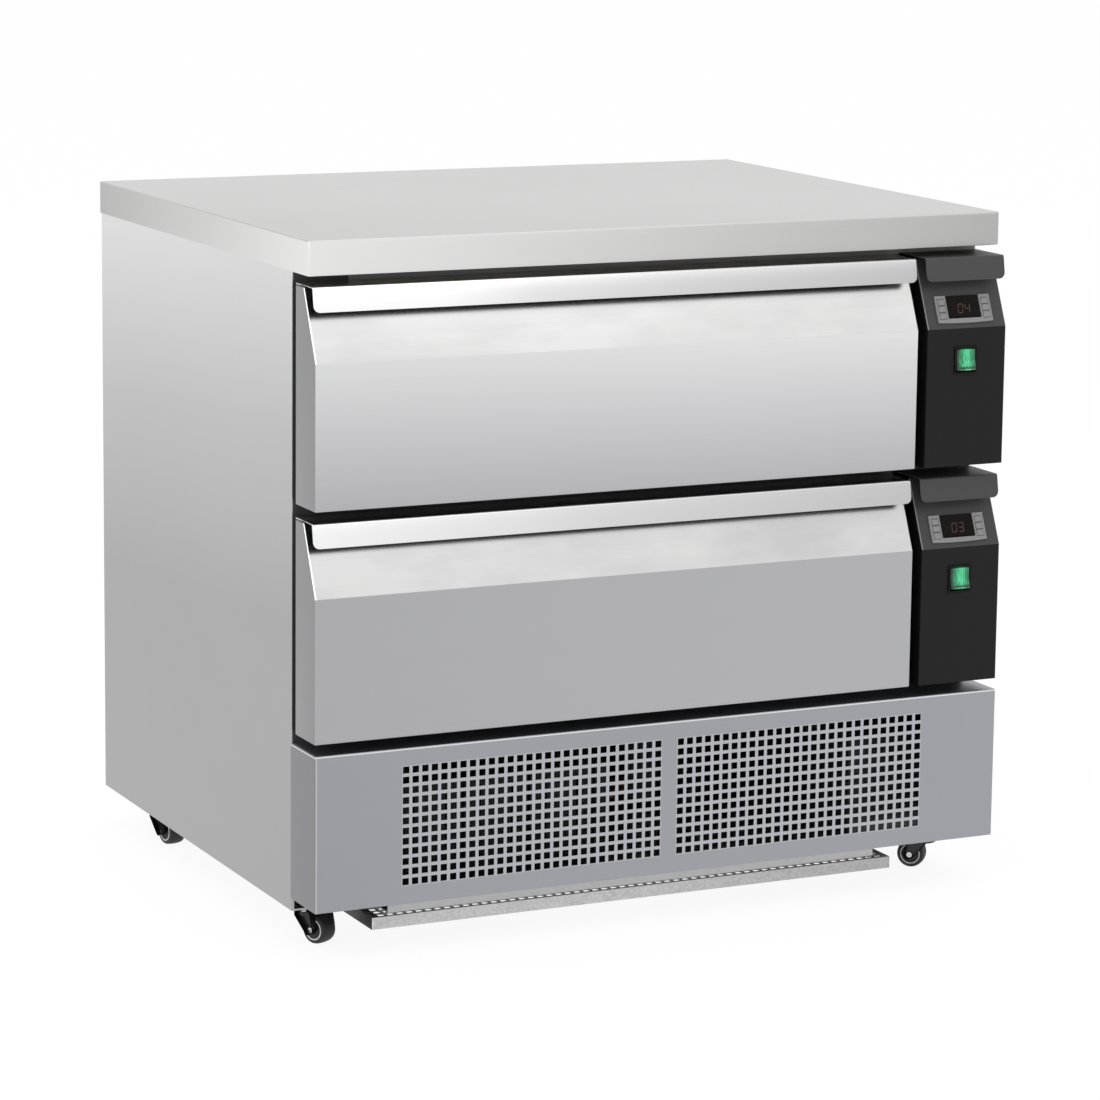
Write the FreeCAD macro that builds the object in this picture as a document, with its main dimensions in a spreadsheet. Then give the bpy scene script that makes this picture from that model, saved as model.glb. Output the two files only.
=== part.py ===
import FreeCAD, Part
import math
import os
import re
import Sketcher
from FreeCAD import Placement, Rotation, Vector

# A free-standing counter with two refrigerated drawers and a refrigerating unit in its base.
# Millimetres. +X is to the right, +Y to the back, +Z up. The origin is on the floor, in the
# middle of the counter's overall width and depth.

sizes = {
    # Worktop: a folded tray with a turned-in hem below.
    "worktop_width": 900,
    "worktop_depth": 700,
    "worktop_edge": 40,
    "worktop_sheet": 1.5,
    "worktop_hem": 22,
    "worktop_corner": 4,
    "worktop_fold": 1.8,
    # Heights, from the floor upwards.
    "caster_height": 45.5,
    "base_lift": 15,
    "base_height": 184.5,
    "base_gap": 13,
    "front_height": 253,
    "middle_gap": 15,
    "top_gap": 11,
    # Cabinet casing.
    "side_inset": 1.5,
    "back_inset": 3,
    "casing_sheet": 1,
    "rear_return": 20,
    "frame_depth": 15,
    "frame_side": 48,
    "opening_margin": 15,
    "floor_thick": 50,
    "liner_sheet": 1,
    "back_wall": 58,
    "front_proud": 22,
    "right_inset": 0.5,
    # Drawer fronts and control housings share one folded profile.
    "front_depth": 60,
    "slant_height": 85,
    "slant_back": 37,
    "skin": 1.2,
    "skin_fold": 1.5,
    "lip_set": 10,
    "lip_drop": 28,
    "lip_lean": 5,
    "lip_sheet": 1.5,
    "lip_fold": 2.5,
    "lip_corner": 8,
    "column_gap": 13,
    "housing_width": 109,
    "gasket_depth": 13.5,
    "gasket_inset": 5,
    "gasket_groove": 3,
    "gasket_foot": 4,
    # Drawer boxes.
    "box_rear": 41,
    "box_height": 170,
    "box_lift": 10,
    "box_sheet": 1.5,
    "box_rim": 9,
    "box_corner": 12,
    "drain_length": 60,
    "drain_width": 8,
    "drain_pitch": 95,
    "drain_rows": 2,
    "drain_columns": 6,
    "air_cut_width": 360,
    "air_cut_height": 45,
    # Telescopic runners: cabinet member, middle member and drawer member, nested.
    "runner_space": 14.5,
    "runner_height": 46,
    "runner_sheet": 1.5,
    "runner_flange": 12.5,
    "runner_play": 0.5,
    "runner_rear": 19.5,
    "runner_lift": 60,
    "runner_back": 3,
    "middle_set": 3,
    "drawer_flange": 9,
    # Air duct behind the right-hand runners.
    "duct_sheet": 1.5,
    "duct_rear": 92.5,
    "duct_slot_length": 150,
    "duct_slot_height": 12,
    "duct_slot_set": 20,
    "duct_slot_first": 12,
    "duct_slots": 3,
    # Base panel, with two fields of square holes.
    "panel_sheet": 1.2,
    "grille_hole": 16,
    "grille_pitch": 24,
    "grille_columns": 14,
    "grille_rows": 6,
    "grille_gap": 42,
    "grille_shift": 1.7,
    # Chassis and the perforated guard below it.
    "chassis_sheet": 2,
    "chassis_upstand": 26,
    "tongue_left_inset": 100,
    "tongue_right_inset": 155.5,
    "guard_sheet": 1.2,
    "guard_left_inset": 79,
    "guard_right_inset": 133,
    "guard_set": 3,
    "guard_length": 453,
    "guard_lip": 14.4,
    "guard_drop": 2.7,
    "guard_rows": 2,
    "pad_radius": 8,
    # Casters.
    "caster_left_inset": 35.5,
    "caster_right_inset": 39.5,
    "caster_front": 24.5,
    "caster_rear": 136,
    "plate_side": 38,
    "plate_sheet": 2.5,
    "wheel_radius": 17.5,
    "wheel_width": 22,
    "tyre_crown": 5,
    "hub_radius": 12.5,
    "hub_hollow": 2.5,
    "hub_boss": 6,
    "axle_radius": 3,
    "axle_play": 0.05,
    "fork_play": 0.5,
    "fork_sheet": 2,
    "fork_cap": 16.5,
    "fork_cap_depth": 9,
    "fork_collar": 5.5,
    "fork_end": 7,
    "fork_offset": 13,
    "nut_radius": 4,
    "nut_height": 2.2,
    "front_left_turn": 25,
    "front_right_turn": 227,
    "rear_left_turn": 10,
    "rear_right_turn": 15,
    # Controllers on the slanted faces of the housings.
    "controller_width": 76,
    "controller_height": 33.5,
    "controller_rise": 24,
    "controller_shift": 1,
    "controller_proud": 2.4,
    "case_width": 68,
    "case_height": 28,
    "case_depth": 22,
    "window_width": 46,
    "window_height": 24,
    "window_sheet": 1.2,
    "key_width": 9.6,
    "key_height": 7.6,
    "key_pitch": 8.6,
    "key_columns_apart": 60.4,
    "key_thick": 2,
    "key_well": 1.7,
    "key_play": 0.3,
    "key_float": 0.7,
    # Rocker switches on the upright faces of the housings.
    "switch_width": 32,
    "switch_height": 34,
    "switch_drop": 124,
    "switch_bezel": 2,
    "switch_proud": 4,
    "switch_sleeve": 20,
    "switch_wall": 1.6,
    "rocker_width": 26,
    "rocker_half": 13.3,
    "rocker_sunk": 1,
    "rocker_swing": 13,
    "rocker_pivot": 7,
    "rocker_play": 0.4,
    "pivot_radius": 2,
    # Refrigerating unit.
    "condenser_inset": 120,
    "condenser_width": 300,
    "condenser_depth": 44,
    "condenser_height": 130,
    "condenser_set": 20,
    "condenser_fins": 14,
    "shroud_depth": 26,
    "shroud_wall": 1.5,
    "condenser_fan_radius": 58,
    "fan_play": 3,
    "fan_set_in": 3,
    "fan_hub": 17,
    "fan_hub_depth": 16,
    "fan_blades": 5,
    "fan_pitch": 32,
    "blade_sheet": 1.4,
    "blade_root": 19,
    "blade_root_depth": 14,
    "blade_tip_share": 0.62,
    "shaft_radius": 2.5,
    "motor_radius": 21,
    "motor_length": 30,
    "strut_width": 8,
    "strut_sheet": 2,
    "evaporator_fan_radius": 38,
    "evaporator_length": 220,
    "evaporator_depth": 62,
    "evaporator_height": 130,
    "evaporator_lift": 20,
    "evaporator_set": 150,
    "evaporator_gap": 15,
    "evaporator_fins": 10,
    "fin_gap": 3.5,
    "coil_tube": 4,
    "coil_bend": 13,
    "fan_rise": 163,
    "fan_set": 70,
    "compressor_inset": 300,
    "compressor_y": 40,
    "compressor_radius": 66,
    "compressor_height": 118,
    "compressor_foot": 12,
    "compressor_dome": 26,
    "compressor_crown": 38,
    "compressor_seam": 3,
    "foot_radius": 10,
    "foot_span": 140,
    "foot_apart": 66,
    "foot_plate_depth": 92,
    "foot_plate": 3,
    "pipe_radius": 4.5,
    "pipe_bend": 22,
    "pipe_sides": 8,
    "stub_length": 14,
    "pipe_rise": 80,
    "hot_pipe_set": 46,
    "electric_width": 120,
    "electric_depth": 110,
    "electric_height": 130,
    "electric_inset": 30,
    "electric_lid": 26,
    "electric_over": 2,
    "electric_corner": 4,
    "riser_set": 60,
    "riser_bore": 11,
    # Back panel.
    "louvre_count": 6,
    "louvre_pitch": 18,
    "louvre_length": 150,
    "louvre_height": 8,
    "louvre_proud": 2.4,
    "louvre_rise": 75,
    "louvre_apart": 190,
    "gland_inset": 60,
    "gland_z": 120,
    "gland_hex": 12,
    "gland_nut_height": 3.5,
    "gland_wall": 3,
    "gland_length": 18,
    "gland_bore": 4.5,
}

doc = FreeCAD.newDocument("DrawerCounter")
sheet = doc.addObject("Spreadsheet::Sheet", "Sizes")
for row, (alias, number) in enumerate(sizes.items(), start=1):
    sheet.set(f"A{row}", alias)
    sheet.set(f"B{row}", str(number))
    sheet.setAlias(f"B{row}", alias)
doc.recompute()

pieces = []

# Heights and planes that several pieces share, as formulas of the sizes.
base_low = "(caster_height + base_lift)"
base_high = f"({base_low} + base_height)"
lower_low = f"({base_high} + base_gap)"
lower_high = f"({lower_low} + front_height)"
upper_low = f"({lower_high} + middle_gap)"
upper_high = f"({upper_low} + front_height)"
worktop_low = f"({upper_high} + top_gap)"
worktop_high = f"({worktop_low} + worktop_edge)"
cabinet_low = "caster_height"
chassis_high = "(caster_height + chassis_sheet)"
cell_floor = f"({lower_low} + opening_margin - floor_thick)"
half_width = "worktop_width / 2"

front = "(-(worktop_depth + front_proud + switch_proud) / 2 + switch_proud)"
worktop_front = f"({front} + front_proud)"
worktop_back = f"({worktop_front} + worktop_depth)"
door_back = f"({front} + front_depth)"
cabinet_front = f"({door_back} + gasket_depth)"
cabinet_back = f"({worktop_back} - back_inset)"
frame_back = f"({cabinet_front} + frame_depth)"
liner_back = f"({cabinet_back} - back_wall)"

side_out = "(worktop_width / 2 - side_inset)"
side_in = f"({side_out} - casing_sheet)"
front_left = "(-worktop_width / 2)"
housing_right = "(worktop_width / 2 - right_inset)"
housing_left = f"({housing_right} - housing_width)"
front_right = f"({housing_left} - column_gap)"
front_width = f"({front_right} - {front_left})"
opening_left = f"(-{side_out} + frame_side)"
opening_right = f"({front_right} - (frame_side - side_inset))"
liner_right = f"({side_out} - frame_side)"
opening_height = "(front_height - 2 * opening_margin)"
gasket_width = "(opening_margin - gasket_inset)"
box_left = f"({opening_left} + runner_space)"
box_right = f"({opening_right} - runner_space)"
box_length = f"({liner_back} - box_rear - {door_back})"
runner_front = f"({frame_back} + runner_back)"
runner_length = f"({liner_back} - runner_rear - {runner_front})"
duct_back = f"({liner_back} - duct_rear)"
duct_right = f"({opening_right} + duct_sheet)"

evaporator_x = f"({duct_right} + evaporator_gap)"
evaporator_y = f"({frame_back} + evaporator_set)"
evaporator_end = f"({evaporator_y} + evaporator_length)"
riser_x = f"({evaporator_x} + evaporator_depth / 2)"
riser_y = f"({evaporator_end} + riser_set)"
condenser_y = f"({cabinet_front} + condenser_set)"
condenser_back = f"({condenser_y} + condenser_depth)"
condenser_left = f"(condenser_inset - {half_width})"
condenser_right = f"({condenser_left} + condenser_width)"
pipe_z = f"({chassis_high} + pipe_rise)"

tongue_left = f"(tongue_left_inset - {half_width})"
tongue_right = f"({half_width} - tongue_right_inset)"
guard_left = f"(guard_left_inset - {half_width})"
guard_right = f"({half_width} - guard_right_inset)"
guard_width = f"({guard_right} - {guard_left})"
guard_columns = f"(floor(({guard_width} - 2 * grille_hole) / grille_pitch) + 1)"
caster_left = f"(caster_left_inset - {half_width})"
caster_right = f"({half_width} - caster_right_inset)"
compressor_x = f"({half_width} - compressor_inset)"
electric_left = f"({half_width} - electric_inset - electric_width)"
gland_x = f"({half_width} - gland_inset)"

kink = "(front_height - slant_height)"
slant = "sqrt(slant_height ^ 2 + slant_back ^ 2)"
levels = {"upper": upper_low, "lower": lower_low}


def opening_low(level):
    return f"({levels[level]} + opening_margin)"


def opening_high(level):
    return f"({opening_low(level)} + {opening_height})"


# Helpers that bind objects to the sheet.
alias_word = re.compile(r"[a-z][a-z_0-9]*")


def formula(text):
    return alias_word.sub(lambda found: f"Sizes.{found[0]}" if found[0] in sizes else found[0], str(text))


def value(text):
    # The number that a formula of the sizes comes to now.
    return float(sheet.evalExpression(formula(text)))


def bind(item, **formulas):
    for name, text in formulas.items():
        item.setExpression(name, formula(text))
    return item


def place(item, x="0", y="0", z="0"):
    for axis, text in (("x", x), ("y", y), ("z", z)):
        item.setExpression(f".Placement.Base.{axis}", formula(text))
    return item


def box(name, x, y, z):
    item = doc.addObject("Part::Box", name)
    for length, (low, high) in (("Length", x), ("Width", y), ("Height", z)):
        item.setExpression(length, formula(f"({high}) - ({low})"))
    return place(item, x[0], y[0], z[0])


turns = {"x": Rotation(Vector(0, 1, 0), 90), "y": Rotation(Vector(1, 0, 0), -90), "z": Rotation()}


def rod(name, axis, x, y, z, radius, length, kind="Part::Cylinder"):
    # A round bar, or a hexagonal one, from the given end along +X, +Y or +Z.
    item = doc.addObject(kind, name)
    bind(item, **{"Radius" if kind == "Part::Cylinder" else "Circumradius": radius, "Height": length})
    item.Placement = Placement(Vector(), turns[axis])
    return place(item, x, y, z)


def hexagon(name, axis, x, y, z, radius, length):
    return rod(name, axis, x, y, z, radius, length, "Part::Prism")


def fuse(name, parts):
    item = doc.addObject("Part::MultiFuse", name)
    item.Shapes = parts
    item.Refine = True
    return item


def group(name, parts):
    item = doc.addObject("Part::Compound", name)
    item.Links = parts
    return item


def cut(name, base, tools):
    item = doc.addObject("Part::Cut", name)
    item.Base = base
    item.Tool = tools[0] if len(tools) == 1 else group(f"{name}_tools", tools)
    item.Refine = True
    return item


def keep(item, label):
    item.Label = label
    pieces.append(item)
    return item


def new_body(name, x="0", y="0", z="0"):
    return place(doc.addObject("PartDesign::Body", name), x, y, z)


def new_sketch(body, name, plane, offset):
    sketch = body.newObject("Sketcher::SketchObject", name)
    planes = {item.Role: item for item in body.Origin.OriginFeatures}
    sketch.AttachmentSupport = [(planes[plane], "")]
    sketch.MapMode = "FlatFace"
    sketch.setExpression(".AttachmentOffset.Base.z", formula(offset))
    return sketch


def pin_point(sketch, line, point, across, up):
    for kind, text in (("DistanceX", across), ("DistanceY", up)):
        index = sketch.addConstraint(Sketcher.Constraint(kind, -1, 1, line, point, 1.0))
        sketch.setExpression(f"Constraints[{index}]", formula(text))


def outline(body, name, plane, corners, offset="0"):
    # A closed outline of straight lines on one of the body's own planes, corner by corner.
    sketch = new_sketch(body, name, plane, offset)
    count = len(corners)
    ring = [Vector(math.cos(math.tau * i / count), math.sin(math.tau * i / count)) for i in range(count)]
    sketch.addGeometry([Part.LineSegment(ring[i], ring[(i + 1) % count]) for i in range(count)])
    for i in range(count):
        sketch.addConstraint(Sketcher.Constraint("Coincident", i, 2, (i + 1) % count, 1))
    for i, (across, up) in enumerate(corners):
        pin_point(sketch, i, 1, across, up)
    return sketch


def rectangle(body, name, plane, across, up, offset="0"):
    (left, right), (low, high) = across, up
    corners = [(left, low), (right, low), (right, high), (left, high)]
    return outline(body, name, plane, corners, offset)


def circle(body, name, plane, across, up, radius, offset="0"):
    sketch = new_sketch(body, name, plane, offset)
    sketch.addGeometry(Part.Circle(Vector(), Vector(0, 0, 1), 1))
    pin_point(sketch, 0, 3, across, up)
    index = sketch.addConstraint(Sketcher.Constraint("Radius", 0, 1.0))
    sketch.setExpression(f"Constraints[{index}]", formula(radius))
    return sketch


def feature(body, kind, name, sketch, length, reverse=False):
    item = body.newObject(f"PartDesign::{kind}", name)
    item.Profile = sketch
    item.Reversed = reverse
    bind(item, Length=length)
    return item


def pad(body, name, sketch, length, reverse=False):
    return feature(body, "Pad", name, sketch, length, reverse)


def pocket(body, name, sketch, length, reverse=False):
    # A cut must take something away, so the volume is compared.
    doc.recompute()
    before = body.Shape.Volume
    item = feature(body, "Pocket", name, sketch, length, reverse)
    doc.recompute()
    if item.Shape.isNull() or body.Shape.Volume > before - 1:
        raise RuntimeError(f"{name} cuts nothing: {item.getStatusString()}")
    return item


def round_edges(body, name, base, radius, chosen):
    # Rounds the edges whose middle point, in the body's own frame, passes the test.
    doc.recompute()
    found = []
    for index, edge in enumerate(base.Shape.Edges, start=1):
        middle = edge.valueAt((edge.FirstParameter + edge.LastParameter) / 2)
        if chosen(middle, edge):
            found.append(f"Edge{index}")
    if not found:
        raise RuntimeError(f"{name} finds no edge")
    item = body.newObject("PartDesign::Fillet", name)
    item.Base = (base, found)
    return bind(item, Radius=radius)


def near(a, b):
    # Equal to within a hundredth of a millimetre.
    return abs(a - b) < 0.01


def repeat(body, name, original, runs):
    # Copies a cut along one or more of the body's own axes: (axis, count, whole length).
    axes = {item.Role: item for item in body.Origin.OriginFeatures}
    multi = body.newObject("PartDesign::MultiTransform", name)
    multi.Originals = [original]
    steps = []
    for number, (axis, count, length) in enumerate(runs):
        step = doc.addObject("PartDesign::LinearPattern", f"{name}_{number}")
        body.addObject(step)
        step.Direction = (axes[axis], [""])
        bind(step, Length=length, Occurrences=count)
        steps.append(step)
    multi.Transformations = steps
    body.Tip = multi
    return multi


# Worktop: a tray folded from one sheet, its hem turned in below.
def make_worktop():
    body = new_body("worktop", y=worktop_front, z=worktop_low)
    half = "worktop_width / 2"
    whole = rectangle(body, "worktop_outline", "XY_Plane", (f"-{half}", half), ("0", "worktop_depth"))
    block = pad(body, "worktop_block", whole, "worktop_edge")
    width, depth, edge = value("worktop_width") / 2, value("worktop_depth"), value("worktop_edge")
    corners = round_edges(body, "worktop_corners", block, "worktop_corner",
                          lambda m, e: near(m.z, edge / 2))
    folded = round_edges(body, "worktop_folds", corners, "worktop_fold", lambda m, e: near(m.z, edge))
    inner = "(worktop_width / 2 - worktop_sheet)"
    hollow = rectangle(body, "worktop_hollow_outline", "XY_Plane", (f"-{inner}", inner),
                       ("worktop_sheet", "worktop_depth - worktop_sheet"), "worktop_edge - worktop_sheet")
    pocket(body, "worktop_hollow", hollow, "worktop_edge - 2 * worktop_sheet")
    hem = "(worktop_width / 2 - worktop_hem)"
    mouth = rectangle(body, "worktop_mouth_outline", "XY_Plane", (f"-{hem}", hem),
                      ("worktop_hem", "worktop_depth - worktop_hem"), "worktop_sheet")
    pocket(body, "worktop_mouth", mouth, "worktop_sheet")
    keep(body, "worktop")


# Cabinet casing.
def make_side_panel(label, side):
    # One folded sheet: the side itself and a return turned in at the back.
    body = new_body(label, x=f"{side} * {side_out}", z=cabinet_low)
    corners = [
        ("0", cabinet_front), (f"-{side} * casing_sheet", cabinet_front),
        (f"-{side} * casing_sheet", f"{cabinet_back} - casing_sheet"),
        (f"-{side} * rear_return", f"{cabinet_back} - casing_sheet"),
        (f"-{side} * rear_return", cabinet_back), ("0", cabinet_back),
    ]
    section = outline(body, f"{label}_section", "XY_Plane", corners)
    sheet_pad = pad(body, f"{label}_sheet", section, f"{worktop_low} - {cabinet_low}")
    back = value(cabinet_back)
    round_edges(body, f"{label}_fold", sheet_pad, "skin_fold",
                lambda m, e: near(m.x, 0) and near(m.y, back))
    keep(body, label)


def make_back_panel():
    # A plate behind the returns of the sides, with two fields of louvres over the unit.
    outer = f"({cabinet_back} - casing_sheet)"
    body = new_body("back_panel", y=f"{outer} - casing_sheet", z=cabinet_low)
    plate = rectangle(body, "back_outline", "XZ_Plane", (f"-{side_in}", side_in),
                      ("0", f"{worktop_low} - {cabinet_low}"))
    pad(body, "back_plate", plate, "casing_sheet", reverse=True)
    left = "(-louvre_apart / 2 - louvre_length)"
    slot = rectangle(body, "louvre_slot_outline", "XZ_Plane", (left, f"{left} + louvre_length"),
                     ("louvre_rise", "louvre_rise + louvre_height"))
    slot_cut = pocket(body, "louvre_slot", slot, "casing_sheet")
    runs = [("Z_Axis", "louvre_count", "louvre_pitch * (louvre_count - 1)"),
            ("X_Axis", "2", "louvre_apart + louvre_length")]
    repeat(body, "louvre_slots", slot_cut, runs)
    # Each hood is a sloping cap that stands out over its slot and opens downwards.
    corners = [
        ("casing_sheet", "louvre_rise + louvre_height"),
        ("casing_sheet + louvre_proud", "louvre_rise"),
        ("casing_sheet + louvre_proud", "louvre_rise + casing_sheet"),
        ("casing_sheet", "louvre_rise + louvre_height + 2 * casing_sheet"),
    ]
    hood = outline(body, "louvre_hood_outline", "YZ_Plane", corners, left)
    hood_pad = pad(body, "louvre_hood", hood, "louvre_length")
    repeat(body, "louvre_hoods", hood_pad, runs)
    bore = circle(body, "gland_hole_outline", "XZ_Plane", gland_x, f"gland_z - {cabinet_low}",
                  "gland_bore + gland_wall")
    pocket(body, "gland_hole", bore, "casing_sheet")
    keep(body, "back_panel")


def make_front_frame():
    # The face frame around both drawer openings, closed behind the control column.
    body = new_body("front_frame", y=cabinet_front)
    face = rectangle(body, "frame_outline", "XZ_Plane", (f"-{side_in}", side_in), (cell_floor, worktop_low))
    pad(body, "frame_block", face, "frame_depth", reverse=True)
    for level in levels:
        hole = rectangle(body, f"{level}_opening_outline", "XZ_Plane", (opening_left, opening_right),
                         (opening_low(level), opening_high(level)))
        pocket(body, f"{level}_opening", hole, "frame_depth")
    keep(body, "front_frame")


def make_insulation():
    # Foam around both compartments, and the core board under the worktop's sheet.
    back = f"({cabinet_back} - 2 * casing_sheet)"
    foam = box("foam_block", (f"-{side_in}", side_in), (frame_back, back), (cell_floor, worktop_low))
    tools = []
    wide = (f"{opening_left} - liner_sheet", f"{liner_right} + liner_sheet")
    for level in levels:
        tools.append(box(f"{level}_foam_cell", wide, (frame_back, f"{liner_back} + liner_sheet"),
                         (f"{opening_low(level)} - liner_sheet", f"{opening_high(level)} + liner_sheet")))
    riser = rod("foam_riser", "z", riser_x, riser_y, cell_floor, "riser_bore",
                f"{opening_low('upper')} - {cell_floor}")
    foam_body = cut("cabinet_foam", foam, [fuse("foam_cells", tools + [riser])])
    inner = "(worktop_width / 2 - worktop_sheet)"
    core = box("core_board", (f"-{inner}", inner),
               (f"{worktop_front} + worktop_sheet", f"{worktop_back} - worktop_sheet"),
               (f"{worktop_low} + worktop_sheet", f"{worktop_high} - worktop_sheet"))
    keep(group("insulation", [foam_body, core]), "insulation")


def make_liners():
    # Each compartment has a folded liner, open to the front, and a duct panel that carries
    # the right-hand runner and has the fan opening and the return slots.
    parts = []
    thin = "liner_sheet"
    for level in levels:
        low, high = opening_low(level), opening_high(level)
        outer = box(f"{level}_liner_block", (f"{opening_left} - {thin}", f"{liner_right} + {thin}"),
                    (frame_back, f"{liner_back} + {thin}"), (f"{low} - {thin}", f"{high} + {thin}"))
        inner = box(f"{level}_liner_hollow", (opening_left, liner_right), (frame_back, liner_back), (low, high))
        riser = rod(f"{level}_liner_riser", "z", riser_x, riser_y, f"{low} - 2 * {thin}", "riser_bore",
                    f"4 * {thin}" if level == "upper" else f"{opening_height} + 4 * {thin}")
        parts.append(cut(f"{level}_liner", outer, [fuse(f"{level}_liner_cuts", [inner, riser])]))
        duct = box(f"{level}_duct_plate", (opening_right, duct_right), (frame_back, duct_back), (low, high))
        through = (f"{opening_right} - duct_sheet", f"{duct_right} + duct_sheet")
        fan_hole = rod(f"{level}_fan_hole", "x", through[0], f"{frame_back} + fan_set", f"{low} + fan_rise",
                       "evaporator_fan_radius + fan_play", "3 * duct_sheet")
        along = (f"{duct_back} - duct_slot_set - duct_slot_length", f"{duct_back} - duct_slot_set")
        slots = []
        for number in range(int(value("duct_slots"))):
            rise = f"{low} + (duct_slot_first + {2 * number}) * duct_slot_height"
            slots.append(box(f"{level}_return_slot_{number}", through, along, (rise, f"{rise} + duct_slot_height")))
        parts.append(cut(f"{level}_duct_panel", duct, [fan_hole] + slots))
    keep(group("compartment_liners", parts), "compartment_liners")


# Telescopic runners: three nested channels on each side of each drawer.
def channel(name, side, x, y, z, height, flange):
    # A channel along Y, its web at x and its flanges turned towards the given side.
    body = new_body(name, x=x, y=y, z=z)
    tall = f"({height}) / 2"
    thin = "runner_sheet"
    corners = [
        ("0", f"-{tall}"), (f"{side} * {flange}", f"-{tall}"), (f"{side} * {flange}", f"-{tall} + {thin}"),
        (f"{side} * {thin}", f"-{tall} + {thin}"), (f"{side} * {thin}", f"{tall} - {thin}"),
        (f"{side} * {flange}", f"{tall} - {thin}"), (f"{side} * {flange}", tall), ("0", tall),
    ]
    section = outline(body, f"{name}_section", "XZ_Plane", corners)
    pad(body, f"{name}_pad", section, runner_length, reverse=True)
    return body


def runner_member(level, member):
    # The left and right channels of one member: 0 on the cabinet, 1 between, 2 on the drawer.
    inner_height = f"runner_height - {member} * 2 * (runner_sheet + runner_play)"
    pair = []
    for side, wall in ((1, opening_left), (-1, opening_right)):
        centre = f"{opening_low(level)} + box_lift + runner_lift"
        web, turned, flange = [
            (f"{wall}", side, "runner_flange"),
            (f"{wall} + {side} * middle_set", side, "(runner_flange - middle_set)"),
            (f"{wall} + {side} * runner_space", -side, "drawer_flange"),
        ][member]
        name = f"{level}_runner_{member}_{'left' if side > 0 else 'right'}"
        pair.append(channel(name, turned, web, runner_front, centre, inner_height, flange))
    return pair


# Drawer fronts and control housings.
def shell_profile(depth, wall):
    # The folded profile in (Y, Z), set in from the outside by the wall.
    slanted = f"({slant} * {wall} / slant_height)"
    return [
        (wall, wall),
        (wall, f"{kink} - {wall} * ({slant} - slant_height) / slant_back"),
        (f"slant_back * (slant_height - {wall}) / slant_height + {slanted}", f"front_height - {wall}"),
        (depth, f"front_height - {wall}"),
        (depth, wall),
    ]


def make_shell(name, x, z, width, depth):
    # A pan open to the back: upright face, slanted face and a handle lip turned down in front.
    body = new_body(name, x=x, y=front, z=z)
    outer = outline(body, f"{name}_outer", "YZ_Plane", shell_profile(depth, "0"))
    block = pad(body, f"{name}_block", outer, width)
    tall, deep = value("front_height"), value("slant_back")
    upright = tall - value("slant_height")
    length = max(vertex.X for vertex in made_shape(block).Vertexes)

    def at_front(middle, edge):
        on_side = near(middle.x, 0) or near(middle.x, length)
        on_upright = near(middle.y, 0) and near(middle.z, upright / 2)
        on_slant = near(middle.y, deep / 2) and near(middle.z, (upright + tall) / 2)
        return (near(middle.y, 0) and near(middle.z, 0)) or (on_side and (on_upright or on_slant))

    round_edges(body, f"{name}_folds", block, "skin_fold", at_front)
    hollow = outline(body, f"{name}_hollow_outline", "YZ_Plane", shell_profile(depth, "skin"), "skin")
    pocket(body, f"{name}_hollow", hollow, f"{width} - 2 * skin", reverse=True)
    lip = outline(body, f"{name}_lip_outline", "YZ_Plane", [
        ("lip_set", "front_height"),
        ("lip_set - lip_lean", "front_height - lip_drop"),
        ("lip_set - lip_lean + lip_sheet", "front_height - lip_drop"),
        ("lip_set + lip_sheet", "front_height - lip_sheet"),
        ("slant_back", "front_height - lip_sheet"),
        ("slant_back", "front_height"),
    ])
    lip_pad = pad(body, f"{name}_lip", lip, width)
    set_in, drop, lean = value("lip_set"), value("lip_drop"), value("lip_lean")
    folded = round_edges(body, f"{name}_lip_fold", lip_pad, "lip_fold",
                         lambda m, e: near(m.y, set_in) and near(m.z, tall))
    tip = set_in - lean + value("lip_sheet") / 2
    round_edges(body, f"{name}_lip_corners", folded, "lip_corner",
                lambda m, e: near(m.z, tall - drop) and near(m.y, tip) and not near(m.x, length / 2))
    return body


def made_shape(item):
    doc.recompute()
    return item.Shape


def make_drawer(level):
    low = levels[level]
    name = f"{level}_drawer"
    keep(make_shell(f"{name}_skin", front_left, low, front_width, "front_depth"), f"{name}_front")
    # The core fills the pan, flush with the back edges of its returns.
    core = new_body(f"{name}_filling", x=front_left, y=front, z=low)
    filling = outline(core, f"{name}_core_outline", "YZ_Plane", shell_profile("front_depth", "skin"), "skin")
    pad(core, f"{name}_core_pad", filling, f"{front_width} - 2 * skin")
    keep(core, f"{name}_core")
    make_gasket(level)
    make_box(level)


def make_gasket(level):
    # A magnetic seal all round: a wide foot, a waist and a wide sealing face.
    low = levels[level]
    left, right = f"({front_left} + gasket_inset)", f"({front_right} - gasket_inset)"
    bottom, top = f"({low} + gasket_inset)", f"({low} + front_height - gasket_inset)"
    solid = box(f"{level}_gasket_block", (left, right), (door_back, cabinet_front), (bottom, top))
    through = box(f"{level}_gasket_inside", (f"{left} + {gasket_width}", f"{right} - {gasket_width}"),
                  (f"{door_back} - gasket_foot", f"{cabinet_front} + gasket_foot"),
                  (f"{bottom} + {gasket_width}", f"{top} - {gasket_width}"))
    waist_y = (f"{door_back} + gasket_foot", f"{cabinet_front} - gasket_foot")
    around = box(f"{level}_gasket_around", (f"{left} - gasket_foot", f"{right} + gasket_foot"), waist_y,
                 (f"{bottom} - gasket_foot", f"{top} + gasket_foot"))
    waist = box(f"{level}_gasket_waist", (f"{left} + gasket_groove", f"{right} - gasket_groove"), waist_y,
                (f"{bottom} + gasket_groove", f"{top} - gasket_groove"))
    groove = cut(f"{level}_gasket_groove", around, [waist])
    ring = cut(f"{level}_gasket_ring", solid, [through])
    keep(cut(f"{level}_gasket_seal", ring, [groove]), f"{level}_drawer_gasket")


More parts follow.
